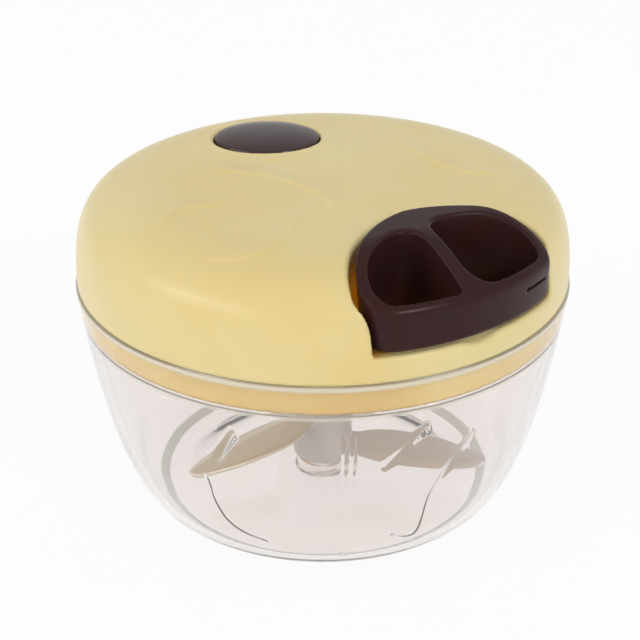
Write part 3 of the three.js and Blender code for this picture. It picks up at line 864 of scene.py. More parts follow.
def put_bowl():
    """Bowl: the outer wall is a Catmull-Rom curve from the foot to the rim, the inner wall runs one
    wall's thickness inside it, and the ribs stand on the inner wall."""
    flare = np.array(BOWL_FLARE)
    outer = through(np.stack([
        FOOT_RADIUS + flare[:, 0] * (RIM_RADIUS - FOOT_RADIUS),
        flare[:, 1] * BOWL_HEIGHT,
    ], -1), 40)
    tangent = np.gradient(outer, axis=0)
    tangent /= np.linalg.norm(tangent, axis=1)[:, None]
    inner = outer + np.stack([-tangent[:, 1], tangent[:, 0]], -1) * BOWL_WALL
    inner = inner[(inner[:, 1] > FLOOR_TOP + 3.0) & (inner[:, 1] < SKIRT_SEAT - 0.8)]
    low, high = inner[0], inner[-1]
    foot = eased([
        (0, FOOT_RECESS), (FOOT_INNER - RECESS_FLAT, FOOT_RECESS),
        (FOOT_INNER - SLOPE_INSIDE, FOOT_RECESS, 2.4), (FOOT_INNER + SLOPE_OUTSIDE, 0, 1.2),
        (FOOT_RADIUS - 0.2, 0, 1.0), tuple(outer[2]),
    ])
    rim = eased([
        tuple(outer[-2]), (RIM_RADIUS, BOWL_HEIGHT, 0.5), (RIM_LAND, BOWL_HEIGHT, 0.5),
        (RIM_LAND, SKIRT_SEAT, 0.4), (high[0] + 0.1, SKIRT_SEAT, 0.5), tuple(high),
    ])
    wall = through(inner[::-1], 66)[1:]
    turn = bezier([
        low, low + TURN_PULL, (low[0] - TURN_FLAT, FLOOR_TOP), (low[0] - TURN_REACH, FLOOR_TOP),
    ], 10)[1:]
    floor = eased([
        tuple(turn[-1]), (BOSS_RADIUS + 8, FLOOR_TOP), (BOSS_RADIUS, FLOOR_TOP, 1.7),
        (BOSS_RADIUS, BOSS_TOP, 1.7), (PIN_SEAT_RADIUS, BOSS_TOP, 0.3), (PIN_SEAT_RADIUS, PIN_SEAT, 0.2),
        (0, PIN_SEAT),
    ])[1:]
    profile = np.vstack([foot, outer[3:-2], rim, wall, turn, floor])
    azimuths = bowl_azimuths()
    ribs = np.zeros((len(profile), len(azimuths)))
    first = len(foot) + len(outer[3:-2]) + len(rim)
    rows = slice(first, first + len(wall) + len(turn))
    ribs[rows] = rib_relief(azimuths, profile[rows, 1][:, None])
    slope = np.gradient(profile, axis=0)
    slope /= np.linalg.norm(slope, axis=1)[:, None]
    inward = np.stack([slope[:, 1], -slope[:, 0]], -1)
    points = turned_grid(profile, np.radians(azimuths))
    angle = np.radians(azimuths)
    radial = np.stack([np.sin(angle), -np.cos(angle), np.zeros_like(angle)], -1)
    move = inward[:, 0][:, None, None] * radial + np.array([0, 0, 1]) * inward[:, 1][:, None, None]
    points = points + ribs[..., None] * move
    return dress(put_grid("clear_bowl", points), "clear", "bowl_body", "bowl")


def put_pin():
    """Steel pin on which the blades turn: a turned profile with an eased tip."""
    low = PIN_SEAT + SEAT_GAP
    corners = [(0, low), (PIN_RADIUS, low, 0.2), (PIN_RADIUS, PIN_TOP, 0.9), (0, PIN_TOP)]
    return dress(put_turned("bowl_pivot_pin", corners, 48), "screw", "bowl_body", "bowl_pin")


# Blades
def hexagon(azimuths, radius, corner=0.12):
    """Radius of a hexagon at each azimuth; corners point along +X, eased by a share of the radius."""
    turn = (azimuths - math.pi / 2 + math.pi / 6) % (math.pi / 3) - math.pi / 6
    flat = radius * math.cos(math.pi / 6) / np.cos(np.abs(turn) - math.pi / 6)
    return np.minimum(flat, radius * (1 - corner))


def put_hub():
    """Hub: a turned post with a slight taper and a bore for the pin; above its shoulder the radius is
    multiplied by the hexagon's at each azimuth."""
    profile = eased([
        (0, HUB_BORE_TOP), (HUB_BORE, HUB_BORE_TOP, 0.3), (HUB_BORE, HUB_BOTTOM, 0.3),
        (HUB_RADIUS, HUB_BOTTOM, 0.8), (HUB_NECK, HUB_SHOULDER, 0.7),
        (HEX_RADIUS + 0.2, HUB_SHOULDER, 0.2), (HEX_RADIUS, HUB_SHOULDER + 0.3, 0.2),
        (HEX_RADIUS, HEX_TOP, 0.6), (0, HEX_TOP),
    ])
    azimuths = full_turn(144)
    points = turned_grid(profile, azimuths)
    six = hexagon(azimuths, HEX_RADIUS) / HEX_RADIUS
    above = (profile[:, 1] > HUB_SHOULDER + 0.05)[:, None]
    points[..., :2] *= np.where(above, six, 1)[..., None]
    return dress(put_grid("blade_hub_post", points), "hub", "blade_unit", "blade_hub")


def blade_outline(count):
    """Stations along a blade with the lower and upper side of its outline, both Bezier curves."""
    span = BLADE_TIP - BLADE_NECK
    half = BLADE_TANG / 2
    edge = np.vstack([
        [(BLADE_ROOT, -half)],
        bezier([(BLADE_NECK, -half), (BLADE_NECK + 0.1 * span, -0.42 * BLADE_CHORD),
                (BLADE_NECK + 0.7 * span, -0.42 * BLADE_CHORD), (BLADE_TIP, -BLADE_TIP_CHORD / 2)], 60),
        bezier([(BLADE_TIP, -BLADE_TIP_CHORD / 2), (BLADE_END, -1.2), (BLADE_END, 0)], 12)[1:],
    ])
    back = np.vstack([
        [(BLADE_ROOT, half)],
        bezier([(BLADE_NECK, half), (BLADE_NECK + 0.22 * span, 0.6 * BLADE_CHORD),
                (BLADE_NECK + 0.75 * span, 0.36 * BLADE_CHORD), (BLADE_TIP, BLADE_TIP_CHORD / 2)], 60),
        bezier([(BLADE_TIP, BLADE_TIP_CHORD / 2), (BLADE_END, 1.2), (BLADE_END, 0)], 12)[1:],
    ])
    share = np.linspace(0, 1, count)
    along = BLADE_ROOT + (BLADE_END - BLADE_ROOT) * np.sin(share * math.pi / 2)
    return (
        along,
        np.interp(along, edge[:, 0], edge[:, 1]),
        np.interp(along, back[:, 0], back[:, 1]),
    )


# Section of a blade: share of the chord from the cutting edge, and half thickness as a share
BLADE_SECTION = (
    (0.0, 0.06), (0.012, 0.1), (0.1, 0.5), (0.24, 0.97), (0.27, 1.0), (0.5, 1.0), (0.93, 1.0),
    (0.97, 0.94), (0.992, 0.7), (1.0, 0.3),
)


def put_blade(name, index, node):
    """Blade: its section runs from a ground edge to an eased back and is carried along the outline,
    then pitched, turned to its azimuth and lifted to its level."""
    along, edge, back = blade_outline(90)
    section = np.array(BLADE_SECTION)
    loop = np.vstack([section, section[::-1] * [1, -1]])
    across = edge[:, None] + (back - edge)[:, None] * loop[:, 0]
    thickness = BLADE_THICKNESS / 2 * np.minimum(1, np.maximum(back - edge, 0.02) / 2.4)
    points = np.stack([
        np.broadcast_to(along[:, None], across.shape),
        across,
        thickness[:, None] * loop[:, 1],
    ], -1)
    ends = [np.broadcast_to(points[row].mean(0), points[row].shape)[None] for row in (0, -1)]
    points = np.concatenate([ends[0], points, ends[1]])
    pitch = math.radians(BLADE_PITCH)
    across, up = points[..., 1], points[..., 2]
    points = np.stack([
        points[..., 0],
        across * math.cos(pitch) - up * math.sin(pitch),
        across * math.sin(pitch) + up * math.cos(pitch) + LOWEST_BLADE + index * BLADE_RISE,
    ], -1)
    points = to_azimuth(points, BLADE_AZIMUTH + index * BLADE_STEP)
    return dress(put_grid(name, points), "blade", "blade_unit", node)


# Lid
def evened(path, step, reach):
    """Path resampled at equal steps, each point the mean of its neighbours within a reach; the ends are
    mirrored through themselves, so that they stay."""
    length = np.concatenate([[0], np.cumsum(np.linalg.norm(np.diff(path, axis=0), axis=1))])
    place = np.linspace(0, length[-1], round(length[-1] / step))
    even = np.stack([np.interp(place, length, path[:, axis]) for axis in range(2)], -1)
    width = round(reach / step)
    padded = np.vstack([2 * even[0] - even[width:0:-1], even, 2 * even[-1] - even[-2:-width - 2:-1]])
    window = np.ones(2 * width + 1) / (2 * width + 1)
    return np.stack([np.convolve(padded[:, axis], window, "valid") for axis in range(2)], -1)


def dome_table(inset):
    """The dome's profile as radius about the middle of the lid's foot against elevation, with the cosine
    between that radius and the normal; the shoulder is a cubic and the crown a quadratic Bezier."""
    radius = LID_RADIUS - inset
    crown = CROWN - inset
    peak = crown + CROWN_RISE
    shoulder = bezier([
        (radius, SIDE_TOP),
        (radius - SHOULDER_IN, crown - SHOULDER_DOWN),
        (CROWN_RADIUS + CROWN_OUT, crown - CROWN_DOWN),
        (CROWN_RADIUS, crown),
    ], 900)
    top = bezier([(CROWN_RADIUS, crown), (CROWN_RADIUS * CROWN_SHARE, peak), (0, peak)], 900)
    side = np.linspace((radius, SHELL_BOTTOM), (radius, SIDE_TOP), 200)
    profile = evened(np.vstack([side[:-1], shoulder[:-1], top]), 0.05, 3.0)
    tangent = np.gradient(profile, axis=0)
    tangent /= np.linalg.norm(tangent, axis=1)[:, None]
    offset = profile - [0, SHELL_BOTTOM]
    reach = np.linalg.norm(offset, axis=1)
    cosine = (offset[:, 0] * tangent[:, 1] - offset[:, 1] * tangent[:, 0]) / reach
    return np.arctan2(offset[:, 1], offset[:, 0]), reach, cosine


DOMES = {inset: dome_table(inset) for inset in (0.0, LID_WALL, -HANDLE_PROUD)}


def dome(radius, height, inset):
    """Distance to the dome's surface, set in by an inset: the radius past the profile's, times the
    cosine between that radius and the normal."""
    elevation, reach, cosine = DOMES[inset]
    up = height - SHELL_BOTTOM
    angle = np.maximum(np.arctan2(up, radius), 0)
    past = np.hypot(radius, np.maximum(up, 0)) - np.interp(angle, elevation, reach)
    return past * np.interp(angle, elevation, cosine)


def post(points, centre, radius):
    """Distance to an upright post without ends."""
    return np.hypot(points[..., 0] - centre[0], points[..., 1] - centre[1]) - radius


def unsquashed(points):
    """Points drawn out from the plug's back edge, so that a circle becomes the head's slight oval."""
    back = PLUG_CENTRE[1] + PLUG_RADIUS
    return np.stack([points[..., 0], back + (points[..., 1] - back) / PLUG_SQUASH, points[..., 2]], -1)


def at_azimuth(radius, azimuth):
    """Place (x, y) at a radius from the axis."""
    angle = math.radians(azimuth)
    return radius * math.sin(angle), -radius * math.cos(angle)


SCREW_PLACES = [at_azimuth(SCREW_CIRCLE, azimuth) for azimuth in SCREW_AZIMUTHS]
SCOOP_RADIUS = 10.0
SCOOP_CENTRE = (64.5, 0.0, 76.2)
SKIN_COVER = 0.9
NICHE_EASE = 1.5
WELL_EASE = 2.2
GUIDE_MIDDLE = 29
GUIDE_HALF_LENGTH = 4
# Boxes and steps of the grids that the distance fields are worked out on
LID_BOX = (-63, -63, 61), (63, 63, 87.5)
LID_STEP = 0.7
BASE_BOX = (-60, -60, 52.5), (60, 60, 72)
BASE_STEP = 0.75


def niche(local, grow):
    """Distance to the niche's outline, grown sideways and backwards; it narrows a little at its front."""
    oval = half_oval(
        local[..., 0] - GRIP_CENTRE,
        local[..., 1],
        GRIP_BACK_DEPTH + grow,
        GRIP_HALF_WIDTH + grow,
        GRIP_POWER,
    )
    return oval + NICHE_TAPER * smooth_step(local[..., 0], *TAPER_RANGE)


def lid_field(points):
    """Lid shell: the dome less the same dome one wall inside, with the walls of the niche and of the
    filler well, the screw bosses and the reel's bearing, and then the openings cut."""
    height = points[..., 2]
    radius = np.hypot(points[..., 0], points[..., 1])
    local = from_azimuth(points, HANDLE_AZIMUTH)
    outside = meet(dome(radius, height, 0.0), SHELL_BOTTOM - height, 0.9)
    shell = cut(outside, dome(radius, height, LID_WALL), 0.6)
    walls = meet(niche(local, NICHE_GAP + LID_WALL), NICHE_FLOOR - LID_WALL - height, 0.6)
    well = meet(post(points, PLUG_CENTRE, WELL_RADIUS + WELL_WALL), WELL_SEAT - WELL_WALL - height, 0.6)
    tube = meet(post(points, PLUG_CENTRE, FILLER_BORE + WELL_WALL), PLATE_TOP + SEAT_GAP - height, 0.4)
    bearing = meet(post(points, (0, 0), BEARING_RADIUS), BEARING_BOTTOM - height, 0.4)
    added = join(join(join(walls, well, 0.6), tube, 0.6), bearing, 0.6)
    for place in SCREW_PLACES:
        boss = meet(post(points, place, SCREW_BOSS), PLATE_TOP + SEAT_GAP - height, 0.3)
        added = join(added, boss, 0.6)
    shell = join(shell, meet(added, outside + SKIN_COVER, 0.2), 0.5)
    opening = meet(niche(local, NICHE_GAP), NICHE_FLOOR - height, 1.4)
    shell = cut(shell, opening, NICHE_EASE)
    scoop = np.linalg.norm(local - np.array(SCOOP_CENTRE), axis=-1) - SCOOP_RADIUS
    shell = cut(shell, scoop, 1.2)
    seat = meet(post(unsquashed(points), PLUG_CENTRE, WELL_RADIUS), WELL_SEAT - height, 0.4)
    shell = cut(shell, seat, WELL_EASE)
    shell = cut(shell, post(points, PLUG_CENTRE, FILLER_BORE), 0.5)
    stub = meet(post(points, (0, 0), STUB_RADIUS), height - CEILING - SEAT_GAP, 0.3)
    shell = cut(shell, stub, 0.3)
    for place in SCREW_PLACES:
        pilot = meet(post(points, place, SCREW_PILOT), height - PLATE_TOP - PILOT_DEPTH, 0.3)
        shell = cut(shell, pilot, 0.2)
    away = np.hypot(local[..., 1], height - CORD_LEVEL) - GUIDE_BARREL - SEAT_GAP
    hole = meet(away, np.abs(local[..., 0] - GUIDE_MIDDLE) - GUIDE_HALF_LENGTH, 0.3)
    return cut(shell, hole, 0.3)


# Swirl in the lid's top: points (x, y) and the height of a soft edge
SWIRLS = (
    (((-30, 4.5), (-26, 3.9), (-20.2, 2.2), (-13, -0.5), (-8.1, -4.3), (-3.4, -8.6), (-0.2, -12.7),
      (2.6, -18), (3.6, -24)), 0.5),
    (((-8.3, -17.3), (-6.6, -24), (-7.2, -31.4), (-9.6, -37.4), (-12.5, -41.9), (-15.8, -44.6),
      (-20, -45.4), (-25.1, -44.3), (-29.2, -42.4)), 0.46),
    (((-19.5, -16.2), (-26.9, -17.6), (-33.2, -19.2), (-36.9, -26.0), (-38.4, -31.0)), 0.4),
    (((19.8, 31.3), (22.1, 21.9), (26.1, 13.8), (28.9, 9.7), (32.9, 5.1), (37.5, 3.3), (41.4, 3.5),
      (45, 5.5)), 0.5),
)
EDGE_WIDTH = 0.75
EDGE_TAIL = 3.4
EDGE_DEPTH = 1.6
# Low steps round the filler well: outer and inner radius, and height
COLLAR = ((17.6, 15.2, 0.35), (21.6, 19.4, 0.2))


def swirl_relief(places):
    """Height of the swirl over the dome: soft edges h exp(-(distance / width)^2) along the curves, steep
    on the side towards the front and long on the far side, that fade out at their ends; and two low
    steps round the filler well."""
    relief = np.zeros(places.shape[:-1])
    for points, height in SWIRLS:
        path = through(points, 5 * len(points))
        start, end = path[:-1], path[1:]
        stretch = end - start
        offset = places[..., None, :] - start
        share = np.clip((offset * stretch).sum(-1) / (stretch**2).sum(-1), 0, 1)
        apart = offset - share[..., None] * stretch
        away = np.linalg.norm(apart, axis=-1)
        nearest = away.argmin(-1)[..., None]
        share = np.take_along_axis(share, nearest, -1)[..., 0]
        behind = np.take_along_axis(apart[..., 1], nearest, -1)[..., 0]
        away = away.min(-1)
        side = smooth_step(behind / np.maximum(away, 1e-6), -0.6, 0.6)
        way = (nearest[..., 0] + share) / len(stretch)
        fade = smooth_step(way, 0, 0.2) * (1 - smooth_step(way, 0.78, 1))
        relief += height * fade * np.exp(-(away / (EDGE_WIDTH + (EDGE_TAIL - EDGE_WIDTH) * side)) ** 2)
    round_plug = unsquashed(np.concatenate([places, np.zeros((*places.shape[:-1], 1))], -1))
    centre = post(round_plug, PLUG_CENTRE, 0)
    for outer, inner, height in COLLAR:
        relief += height * (1 - smooth_step(centre, inner, outer))
    return relief


def raised(points, normals, relief, where, share):
    """Points moved along their normals by a share of a relief of (x, y), and the normals tilted by its
    slope."""
    reach = 0.05
    places = points[where][:, :2]
    height = relief(places) * share
    slope = share[:, None] * np.stack([
        (relief(places + step) - relief(places - step)) / (2 * reach) for step in np.eye(2) * reach
    ] + [np.zeros(len(places))], -1)
    points = points.copy()
    normals = normals.copy()
    normal = normals[where]
    points[where] += normal * height[:, None]
    tilted = normal - slope + normal * (slope * normal).sum(-1)[:, None]
    normals[where] = tilted / np.linalg.norm(tilted, axis=1)[:, None]
    return points, normals


def put_lid():
    """Lid shell from its distance field, with the swirl raised on its top; the relief runs out over the
    eased edges of the openings."""
    points, faces, normals = skin(lid_field, *LID_BOX, LID_STEP)
    radius = np.hypot(points[:, 0], points[:, 1])
    depth = np.abs(dome(radius, points[:, 2], 0.0))
    top = (normals[:, 2] > 0) & (depth < EDGE_DEPTH)
    share = 1 - smooth_step(depth[top], 0.05, EDGE_DEPTH)
    points, normals = raised(points, normals, swirl_relief, top, share)
    return dress(put("lid_shell_dome", points, faces, normals), "lid", "lid", "lid_shell")


def base_field(points):
    """Lid base: a plate with a skirt round its rim and an arbor in its middle, less its bores."""
    height = points[..., 2]
    radius = np.hypot(points[..., 0], points[..., 1])
    body = meet(radius - SKIRT_RADIUS, np.maximum(SKIRT_BOTTOM - height, height - PLATE_TOP), 0.7)
    hollow = meet(radius - SKIRT_RADIUS + SKIRT_WALL, height - PLATE_BOTTOM, 0.8)
    body = cut(body, hollow, 0.5)
    arbor = meet(radius - ARBOR_RADIUS, np.maximum(PLATE_BOTTOM - height, height - ARBOR_TOP), 0.4)
    body = cut(join(body, arbor, 0.8), radius - SHAFT_BORE, 0.4)
    body = cut(body, post(points, PLUG_CENTRE, FILLER_BORE), 0.4)
    for place in SCREW_PLACES:
        body = cut(body, post(points, place, SCREW_PILOT), 0.2)
        sink = meet(post(points, place, SINK_RADIUS), height - PLATE_BOTTOM - SINK_DEPTH, 0.2)
        body = cut(body, sink, 0.2)
    return body


def put_base():
    """Lid base from its distance field."""
    points, faces, normals = skin(base_field, *BASE_BOX, BASE_STEP)
    return dress(put("lid_base_skirt", points, faces, normals), "base", "lid", "lid_base")


# Pull handle
SLIT_AZIMUTHS = (48.6, 56.4)
SLIT_LEVEL = 74.6
SLIT_DEPTH = 0.9
SLIT_HALF_HEIGHT = 0.25
SIDE_EASE_RIGHT = 1.8
SIDE_EASE_LEFT = 5.0
TOP_EASE = 3.0
RIM_EASE = 0.8
HOLE_CORNER = 3.4
HOLE_EASE = 1.0
BAR_EASE_RIGHT = 7.5
BAR_EASE_LEFT = 1.6
BAR_EASE_BEHIND = 5.4
BAR_BEHIND = (47, 54)
HANDLE_BOX = (30.5, -27.5, 67.4), (63.2, 27.5, 89.5)
HANDLE_STEP = 0.4


def handle_field(local):
    """Pull handle in the directions of the pull: a D-shaped outline under the raised dome, less the two
    finger holes, the knot's pocket, the cord's bore and the short slit in its front."""
    along, across, height = local[..., 0], local[..., 1], local[..., 2]
    radius = np.hypot(along, across)
    side = half_oval(along - GRIP_CENTRE, across, GRIP_BACK_DEPTH, GRIP_HALF_WIDTH, GRIP_POWER)
    side = side + GRIP_DRAFT * np.maximum(DRAFT_TOP - height, 0)
    corner = np.where(across > 0, SIDE_EASE_RIGHT, SIDE_EASE_LEFT)
    outline = meet(side, radius - GRIP_FRONT, corner)
    body = meet(outline, HANDLE_BOTTOM - height, 1.2)
    front = (height - FRONT_EDGE - FRONT_SLOPE * (GRIP_FRONT - radius)) / math.hypot(1, FRONT_SLOPE)
    top = meet(dome(radius, height, -HANDLE_PROUD), front, TOP_EASE)
    body = meet(body, top, RIM_EASE)
    rim = half_oval(along - GRIP_CENTRE, across, HOLE_BACK_DEPTH, HOLE_HALF_WIDTH)
    hole = meet(rim, radius - HOLE_FRONT, HOLE_CORNER)
    left = BAR_EASE_LEFT + BAR_EASE_BEHIND * (1 - smooth_step(along, *BAR_BEHIND))
    bar = BAR_WIDTH / 2 - np.abs(across - BAR_ACROSS)
    hole = meet(hole, bar, np.where(across > BAR_ACROSS, BAR_EASE_RIGHT, left))
    body = cut(body, hole, HOLE_EASE)
    pocket = meet(
        np.maximum(POCKET_BACK - along, along - POCKET_FRONT),
        np.maximum(np.abs(across) - POCKET_HALF_WIDTH, height - POCKET_TOP),
        0.3,
    )
    body = cut(body, pocket, 0.3)
    bore = meet(np.hypot(across, height - CORD_LEVEL) - CORD_BORE, along - POCKET_BACK - 0.5, 0.2)
    body = cut(body, bore, 0.5)
    start, end = np.radians(np.array(SLIT_AZIMUTHS) - HANDLE_AZIMUTH)
    turn = np.abs(np.arctan2(across, along) - (start + end) / 2) - (end - start) / 2
    slit = np.maximum(np.abs(height - SLIT_LEVEL) - SLIT_HALF_HEIGHT, turn * GRIP_FRONT)
    slit = np.maximum(slit, GRIP_FRONT - SLIT_DEPTH - radius)
    return cut(body, slit, 0.2)


def put_handle():
    """Pull handle from its distance field, then turned to its azimuth."""
    points, faces, normals = skin(handle_field, *HANDLE_BOX, HANDLE_STEP)
    piece = put(
        "pull_handle_grip",
        to_azimuth(points, HANDLE_AZIMUTH),
        faces,
        to_azimuth(normals, HANDLE_AZIMUTH),
    )
    return dress(piece, "dark", "handle", "pull_handle")


def put_plug():
    """Filler plug: a turned profile with a hollow stem and a crown that is a quadratic Bezier; the head
    is drawn in along y towards its back edge, which makes it a slight oval."""
    edge = (PLUG_RADIUS - 1.0, PLUG_RIM + 0.25)
    crown = bezier([edge, (PLUG_RADIUS * 0.6, PLUG_TOP), (0, PLUG_TOP)], 18)
    corners = [
        (0, PLUG_BOTTOM), (PLUG_STEM_INNER, PLUG_BOTTOM, 0.3), (PLUG_STEM_INNER, PLUG_STEM_BOTTOM, 0.3),
        (PLUG_STEM_RADIUS, PLUG_STEM_BOTTOM, 0.3), (PLUG_STEM_RADIUS, PLUG_BOTTOM, 0.3),
        (PLUG_RADIUS, PLUG_BOTTOM, 0.3), (PLUG_RADIUS, PLUG_RIM, 0.7),
    ]
    profile = np.vstack([eased(corners + [tuple(crown[0])])[:-1], crown])
    points = turned_grid(profile, full_turn(144), PLUG_CENTRE)
    head = (profile[:, 1] > PLUG_BOTTOM + 0.01) | (profile[:, 0] > PLUG_STEM_RADIUS + 0.4)
    back = PLUG_CENTRE[1] + PLUG_RADIUS
    points[head, :, 1] = back + (points[head, :, 1] - back) * PLUG_SQUASH
    piece = put_grid("filler_plug_head", points)
    return dress(piece, "plug", "plug", "filler_plug")


# Small parts under the lid
def put_socket():
    """Drive socket: a turned cup with a screw hole through its roof; inside, the radius is multiplied by
    the hexagon's at each azimuth."""
    profile = eased([
        (SOCKET_HEX, SOCKET_BOTTOM, 0.3), (SOCKET_RADIUS, SOCKET_BOTTOM, 0.5),
        (SOCKET_RADIUS, SOCKET_TOP, 0.4), (AXLE_HOLE, SOCKET_TOP, 0.2), (AXLE_HOLE, SOCKET_ROOF, 0.2),
        (SOCKET_HEX - 0.4, SOCKET_ROOF, 0.3), (SOCKET_HEX, SOCKET_ROOF - 0.4, 0.2),
        (SOCKET_HEX, SOCKET_BOTTOM, 0.3),
    ])
    azimuths = full_turn(144)
    points = turned_grid(profile, azimuths)
    six = hexagon(azimuths, SOCKET_HEX, 0.02) / SOCKET_HEX
    inner = (profile[:, 0] < SOCKET_HEX + 0.05) & (profile[:, 0] > 2.5)
    points[..., :2] *= np.where(inner[:, None], six, 1)[..., None]
    return dress(put_grid("drive_socket_cup", points, close_rows=True), "hub", "reel", "drive_socket")


SCREW_RINGS = 14
RECESS_DEPTH = 0.7
# Radius of the head, and levels of its two sides and of the tip
LID_SCREW = (2.7, 61.1, 62.7, 73.2)
AXLE_SCREW = (3.0, 56.9, 58.5, 69.8)


def put_screw(name, place, sizes, body, node):
    """Screw seen from below: a turned profile with a flat head, an eased rim and a plain cone up to the
    tip; the head's face is lifted by a smooth step where it lies in a cross."""
    head_radius, low, head, top = sizes
    flat = head_radius * 0.7
    rim = eased([(flat, low), (head_radius, low, 0.5), (head_radius, head, 0.15), (flat, head)])[1:-1]
    face = np.stack([np.linspace(0, flat, SCREW_RINGS), np.full(SCREW_RINGS, low)], -1)
    profile = np.vstack([face, rim, [(0, top)]])
    points = turned_grid(profile, full_turn(96))
    x, y = np.abs(points[:SCREW_RINGS, :, 0]), np.abs(points[:SCREW_RINGS, :, 1])
    width, length = 0.16 * head_radius, 0.55 * head_radius
    slot = np.minimum(np.maximum(x - width, y - length), np.maximum(y - width, x - length))
    points[:SCREW_RINGS, :, 2] += RECESS_DEPTH * (1 - smooth_step(slot, -0.12, 0.12))
    points[..., 0] += place[0]
    points[..., 1] += place[1]
    return dress(put_grid(name, points), "screw", body, node)


def along_pull(profile, steps):
    """Profile (radius, distance along the pull) carried round the cord's line."""
    angle = full_turn(steps)
    radius = profile[:, 0][:, None]
    local = np.stack([
        np.broadcast_to(profile[:, 1][:, None], (len(profile), steps)),
        radius * np.cos(angle),
        CORD_LEVEL + radius * np.sin(angle),
    ], -1)
    return to_azimuth(local, HANDLE_AZIMUTH)


CORD_BEND = 25.0
CORD_LEAVES = (10.89, -12.39)
LEAD_START_SHARE = 0.04
KNOT_PLACE = POCKET_BACK + KNOT_RADIUS + 0.15


def put_guide():
    """Eyelet that the cord runs through: the profile of a barrel with a flange and a rounded mouth,
    carried round the cord's line."""
    flange = GUIDE_FRONT - 0.7
    profile = eased([
        (GUIDE_BORE, GUIDE_BACK, 0.4), (GUIDE_BARREL, GUIDE_BACK, 0.4), (GUIDE_BARREL, flange),
        (GUIDE_FLANGE, flange, 0.2), (GUIDE_FLANGE, GUIDE_FRONT, 0.4), (GUIDE_BORE, GUIDE_FRONT, 0.5),
        (GUIDE_BORE, GUIDE_BACK, 0.4),
    ])
    piece = put_grid("cord_guide_eyelet", along_pull(profile, 64), close_rows=True)
    return dress(piece, "screw", "lid", "cord_guide")


def put_cord_lead():
    """Stretch of the cord from the reel to the guide, which rides on the lid: a circle carried along a
    straight line, smaller at the two ends."""
    start = np.array([*CORD_LEAVES, CORD_LEVEL])
    end = np.array([CORD_BEND, 0, CORD_LEVEL])
    start = start + (end - start) * LEAD_START_SHARE
    way = (end - start) / np.linalg.norm(end - start)
    side = np.cross(way, [0, 0, 1])
    angle = full_turn(20)
    radius = np.array([0, 0.7, 1, *np.ones(12), 1, 0.7, 0]) * CORD_RADIUS
    place = np.array([0, 0, 0.03, *np.linspace(0.05, 0.95, 12), 0.97, 1, 1])
    centre = start + (end - start) * place[:, None]
    ring = side * np.cos(angle)[:, None] + np.array([0, 0, 1]) * np.sin(angle)[:, None]
    lead = centre[:, None, :] + radius[:, None, None] * ring
    piece = put_grid("cord_stretch_to_guide", to_azimuth(lead, HANDLE_AZIMUTH))
    return dress(piece, "cord", "lid", "cord_lead")


def put_cord_tail():
    """Stretch of the cord through the guide to the knot: a circle carried along the pull, drawn out
    between the lid and the handle."""
    back = CORD_BEND + CORD_RADIUS + 0.3
    lengths = np.linspace(back, KNOT_PLACE, 90)
    side = np.stack([np.full(90, CORD_RADIUS), lengths], -1)
    tube = np.vstack([[(0, back)], side, [(0, KNOT_PLACE)]])
    piece = put_grid("cord_stretch_to_handle", along_pull(tube, 20))
    dress(piece, "cord", None, "cord_tail")
    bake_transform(piece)
    return piece


def put_knot():
    """Knot at the cord's end, which rides on the handle: a ball with shallow waists, the radius
    r cos(latitude) (1 - 0.1 cos(6 latitude) cos(latitude))."""
    latitude = np.linspace(-np.pi / 2, np.pi / 2, 28)
    waist = 1 - 0.1 * np.cos(6 * latitude) * np.cos(latitude)
    radius = KNOT_RADIUS * np.cos(latitude) * waist
    radius[[0, -1]] = 0
    ball = np.stack([radius, KNOT_PLACE + KNOT_RADIUS * np.sin(latitude)], -1)
    return dress(put_grid("cord_end_knot", along_pull(ball, 40)), "cord", "handle")


def put_washer():
    """Washer under the axle's screw: a turned ring with eased edges."""
    corners = [
        (radius, height, 0.1)
        for radius, height in (
            (AXLE_HOLE, WASHER_BOTTOM), (WASHER_RADIUS, WASHER_BOTTOM), (WASHER_RADIUS, WASHER_TOP),
            (AXLE_HOLE, WASHER_TOP), (AXLE_HOLE, WASHER_BOTTOM),
        )
    ]
    return dress(put_turned("axle_washer_ring", corners, 64, closed=True), "screw", "reel", "axle_washer")


put_bowl()
put_pin()
put_hub()
for number, level in enumerate(("lower", "middle", "upper")):
    put_blade(f"{level}_blade_ground", number, f"{level}_blade")
put_lid()
put_base()
put_handle()
put_plug()
put_socket()
put_guide()
put_cord_lead()
put_cord_tail()
put_knot()
put_washer()
for number, place in enumerate(SCREW_PLACES, 1):
    put_screw(f"lid_pan_screw_{number}", place, LID_SCREW, "lid", f"lid_screw_{number}")
put_screw("axle_pan_screw", (0, 0), AXLE_SCREW, "reel", "axle_screw")

# CAD nodes that stay as they are get their finish
KEPT = {"cord_reel": "reel", "reel_cover": "reel", "cord_winding": "cord", "mainspring": "spring"}
for node, finish in KEPT.items():
    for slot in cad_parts[node].material_slots:
        slot.material = MATERIALS[finish]


# Floor, backdrop and lamps
SEEN_WHITE = 0.9
FLOOR_REACH = 4.0
FLOOR_DROP = 0.0002


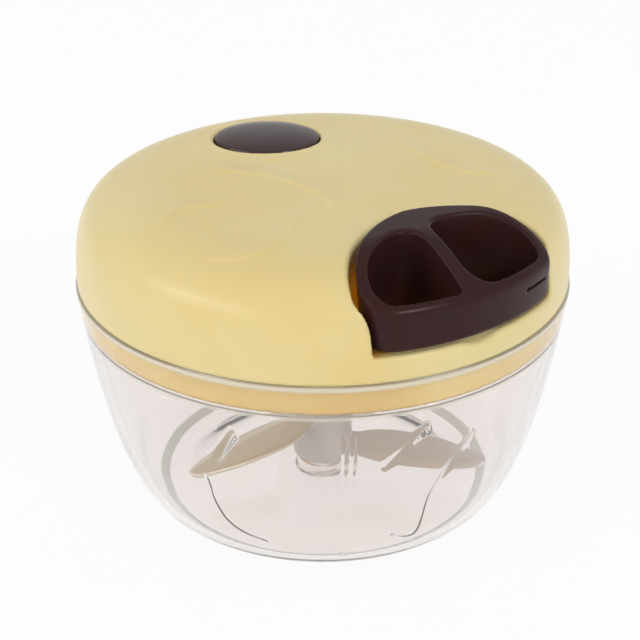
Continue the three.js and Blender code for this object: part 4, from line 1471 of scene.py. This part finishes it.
def white_stage(name, shade):
    """Pale floor: a diffuse white that keeps the shadow, and plain white for the rays that see it."""
    finish = Finish(name)
    seen = finish.rays("Is Camera Ray", "Is Glossy Ray", "Is Transmission Ray")
    grain = finish.noise(9, 2)
    matt = finish.add("ShaderNodeBsdfDiffuse", {}, {
        "Color": finish.mix(grain, (shade,) * 3 + (1,), (shade * 0.99,) * 3 + (1,)),
    })
    white = finish.add("ShaderNodeEmission", {}, {"Color": (1, 1, 1, 1), "Strength": 1.0})
    inputs = {0: seen * SEEN_WHITE, 1: matt, 2: white}
    return finish.shade(finish.add("ShaderNodeMixShader", {}, inputs))


def add_floor():
    """Wide flat floor just below the object's foot."""
    mesh = bpy.data.meshes.new("floor")
    corners = [(x * FLOOR_REACH, y * FLOOR_REACH, 0) for x, y in ((-1, -1), (1, -1), (1, 1), (-1, 1))]
    mesh.from_pydata(corners, [], [(0, 1, 2, 3)])
    floor = bpy.data.objects.new("floor", mesh)
    floor.location = (0, 0, -FLOOR_DROP)
    mesh.materials.append(white_stage("floor_white", 0.98))
    bpy.context.scene.collection.objects.link(floor)


def add_world(strength):
    """White surroundings: plain white to the camera, also through the bowl, and a weaker white light."""
    sky = Finish("surroundings", bpy.data.worlds)
    seen = sky.rays("Is Camera Ray", "Is Transmission Ray")
    light = sky.add("ShaderNodeMapRange", {}, {"Value": seen, "To Min": strength, "To Max": 1.0})
    background = sky.add("ShaderNodeBackground", {}, {"Color": (1, 1, 1, 1), "Strength": light})
    bpy.context.scene.world = sky.shade(background, "ShaderNodeOutputWorld")


def add_lamp(name, place, width, height, watts):
    """Soft rectangular lamp that is turned to face the object's middle."""
    lamp = bpy.data.lights.new(name, "AREA")
    lamp.shape = "RECTANGLE"
    lamp.size = width
    lamp.size_y = height
    lamp.energy = watts
    holder = bpy.data.objects.new(name, lamp)
    holder.location = place
    away = np.array(place) - np.array([0, 0, 0.05])
    spin = math.atan2(away[0], -away[1])
    tilt = math.atan2(math.hypot(away[0], away[1]), away[2])
    holder.rotation_euler = (tilt, 0, spin)
    bpy.context.scene.collection.objects.link(holder)


bpy.context.scene.view_settings.view_transform = "Standard"
add_floor()
add_world(0.69)
add_lamp("key_lamp", (-1.0, -0.62, 0.62), 1.1, 0.3, 4.4)
add_lamp("side_lamp", (0.68, -0.78, 0.7), 0.2, 0.2, 2.8)
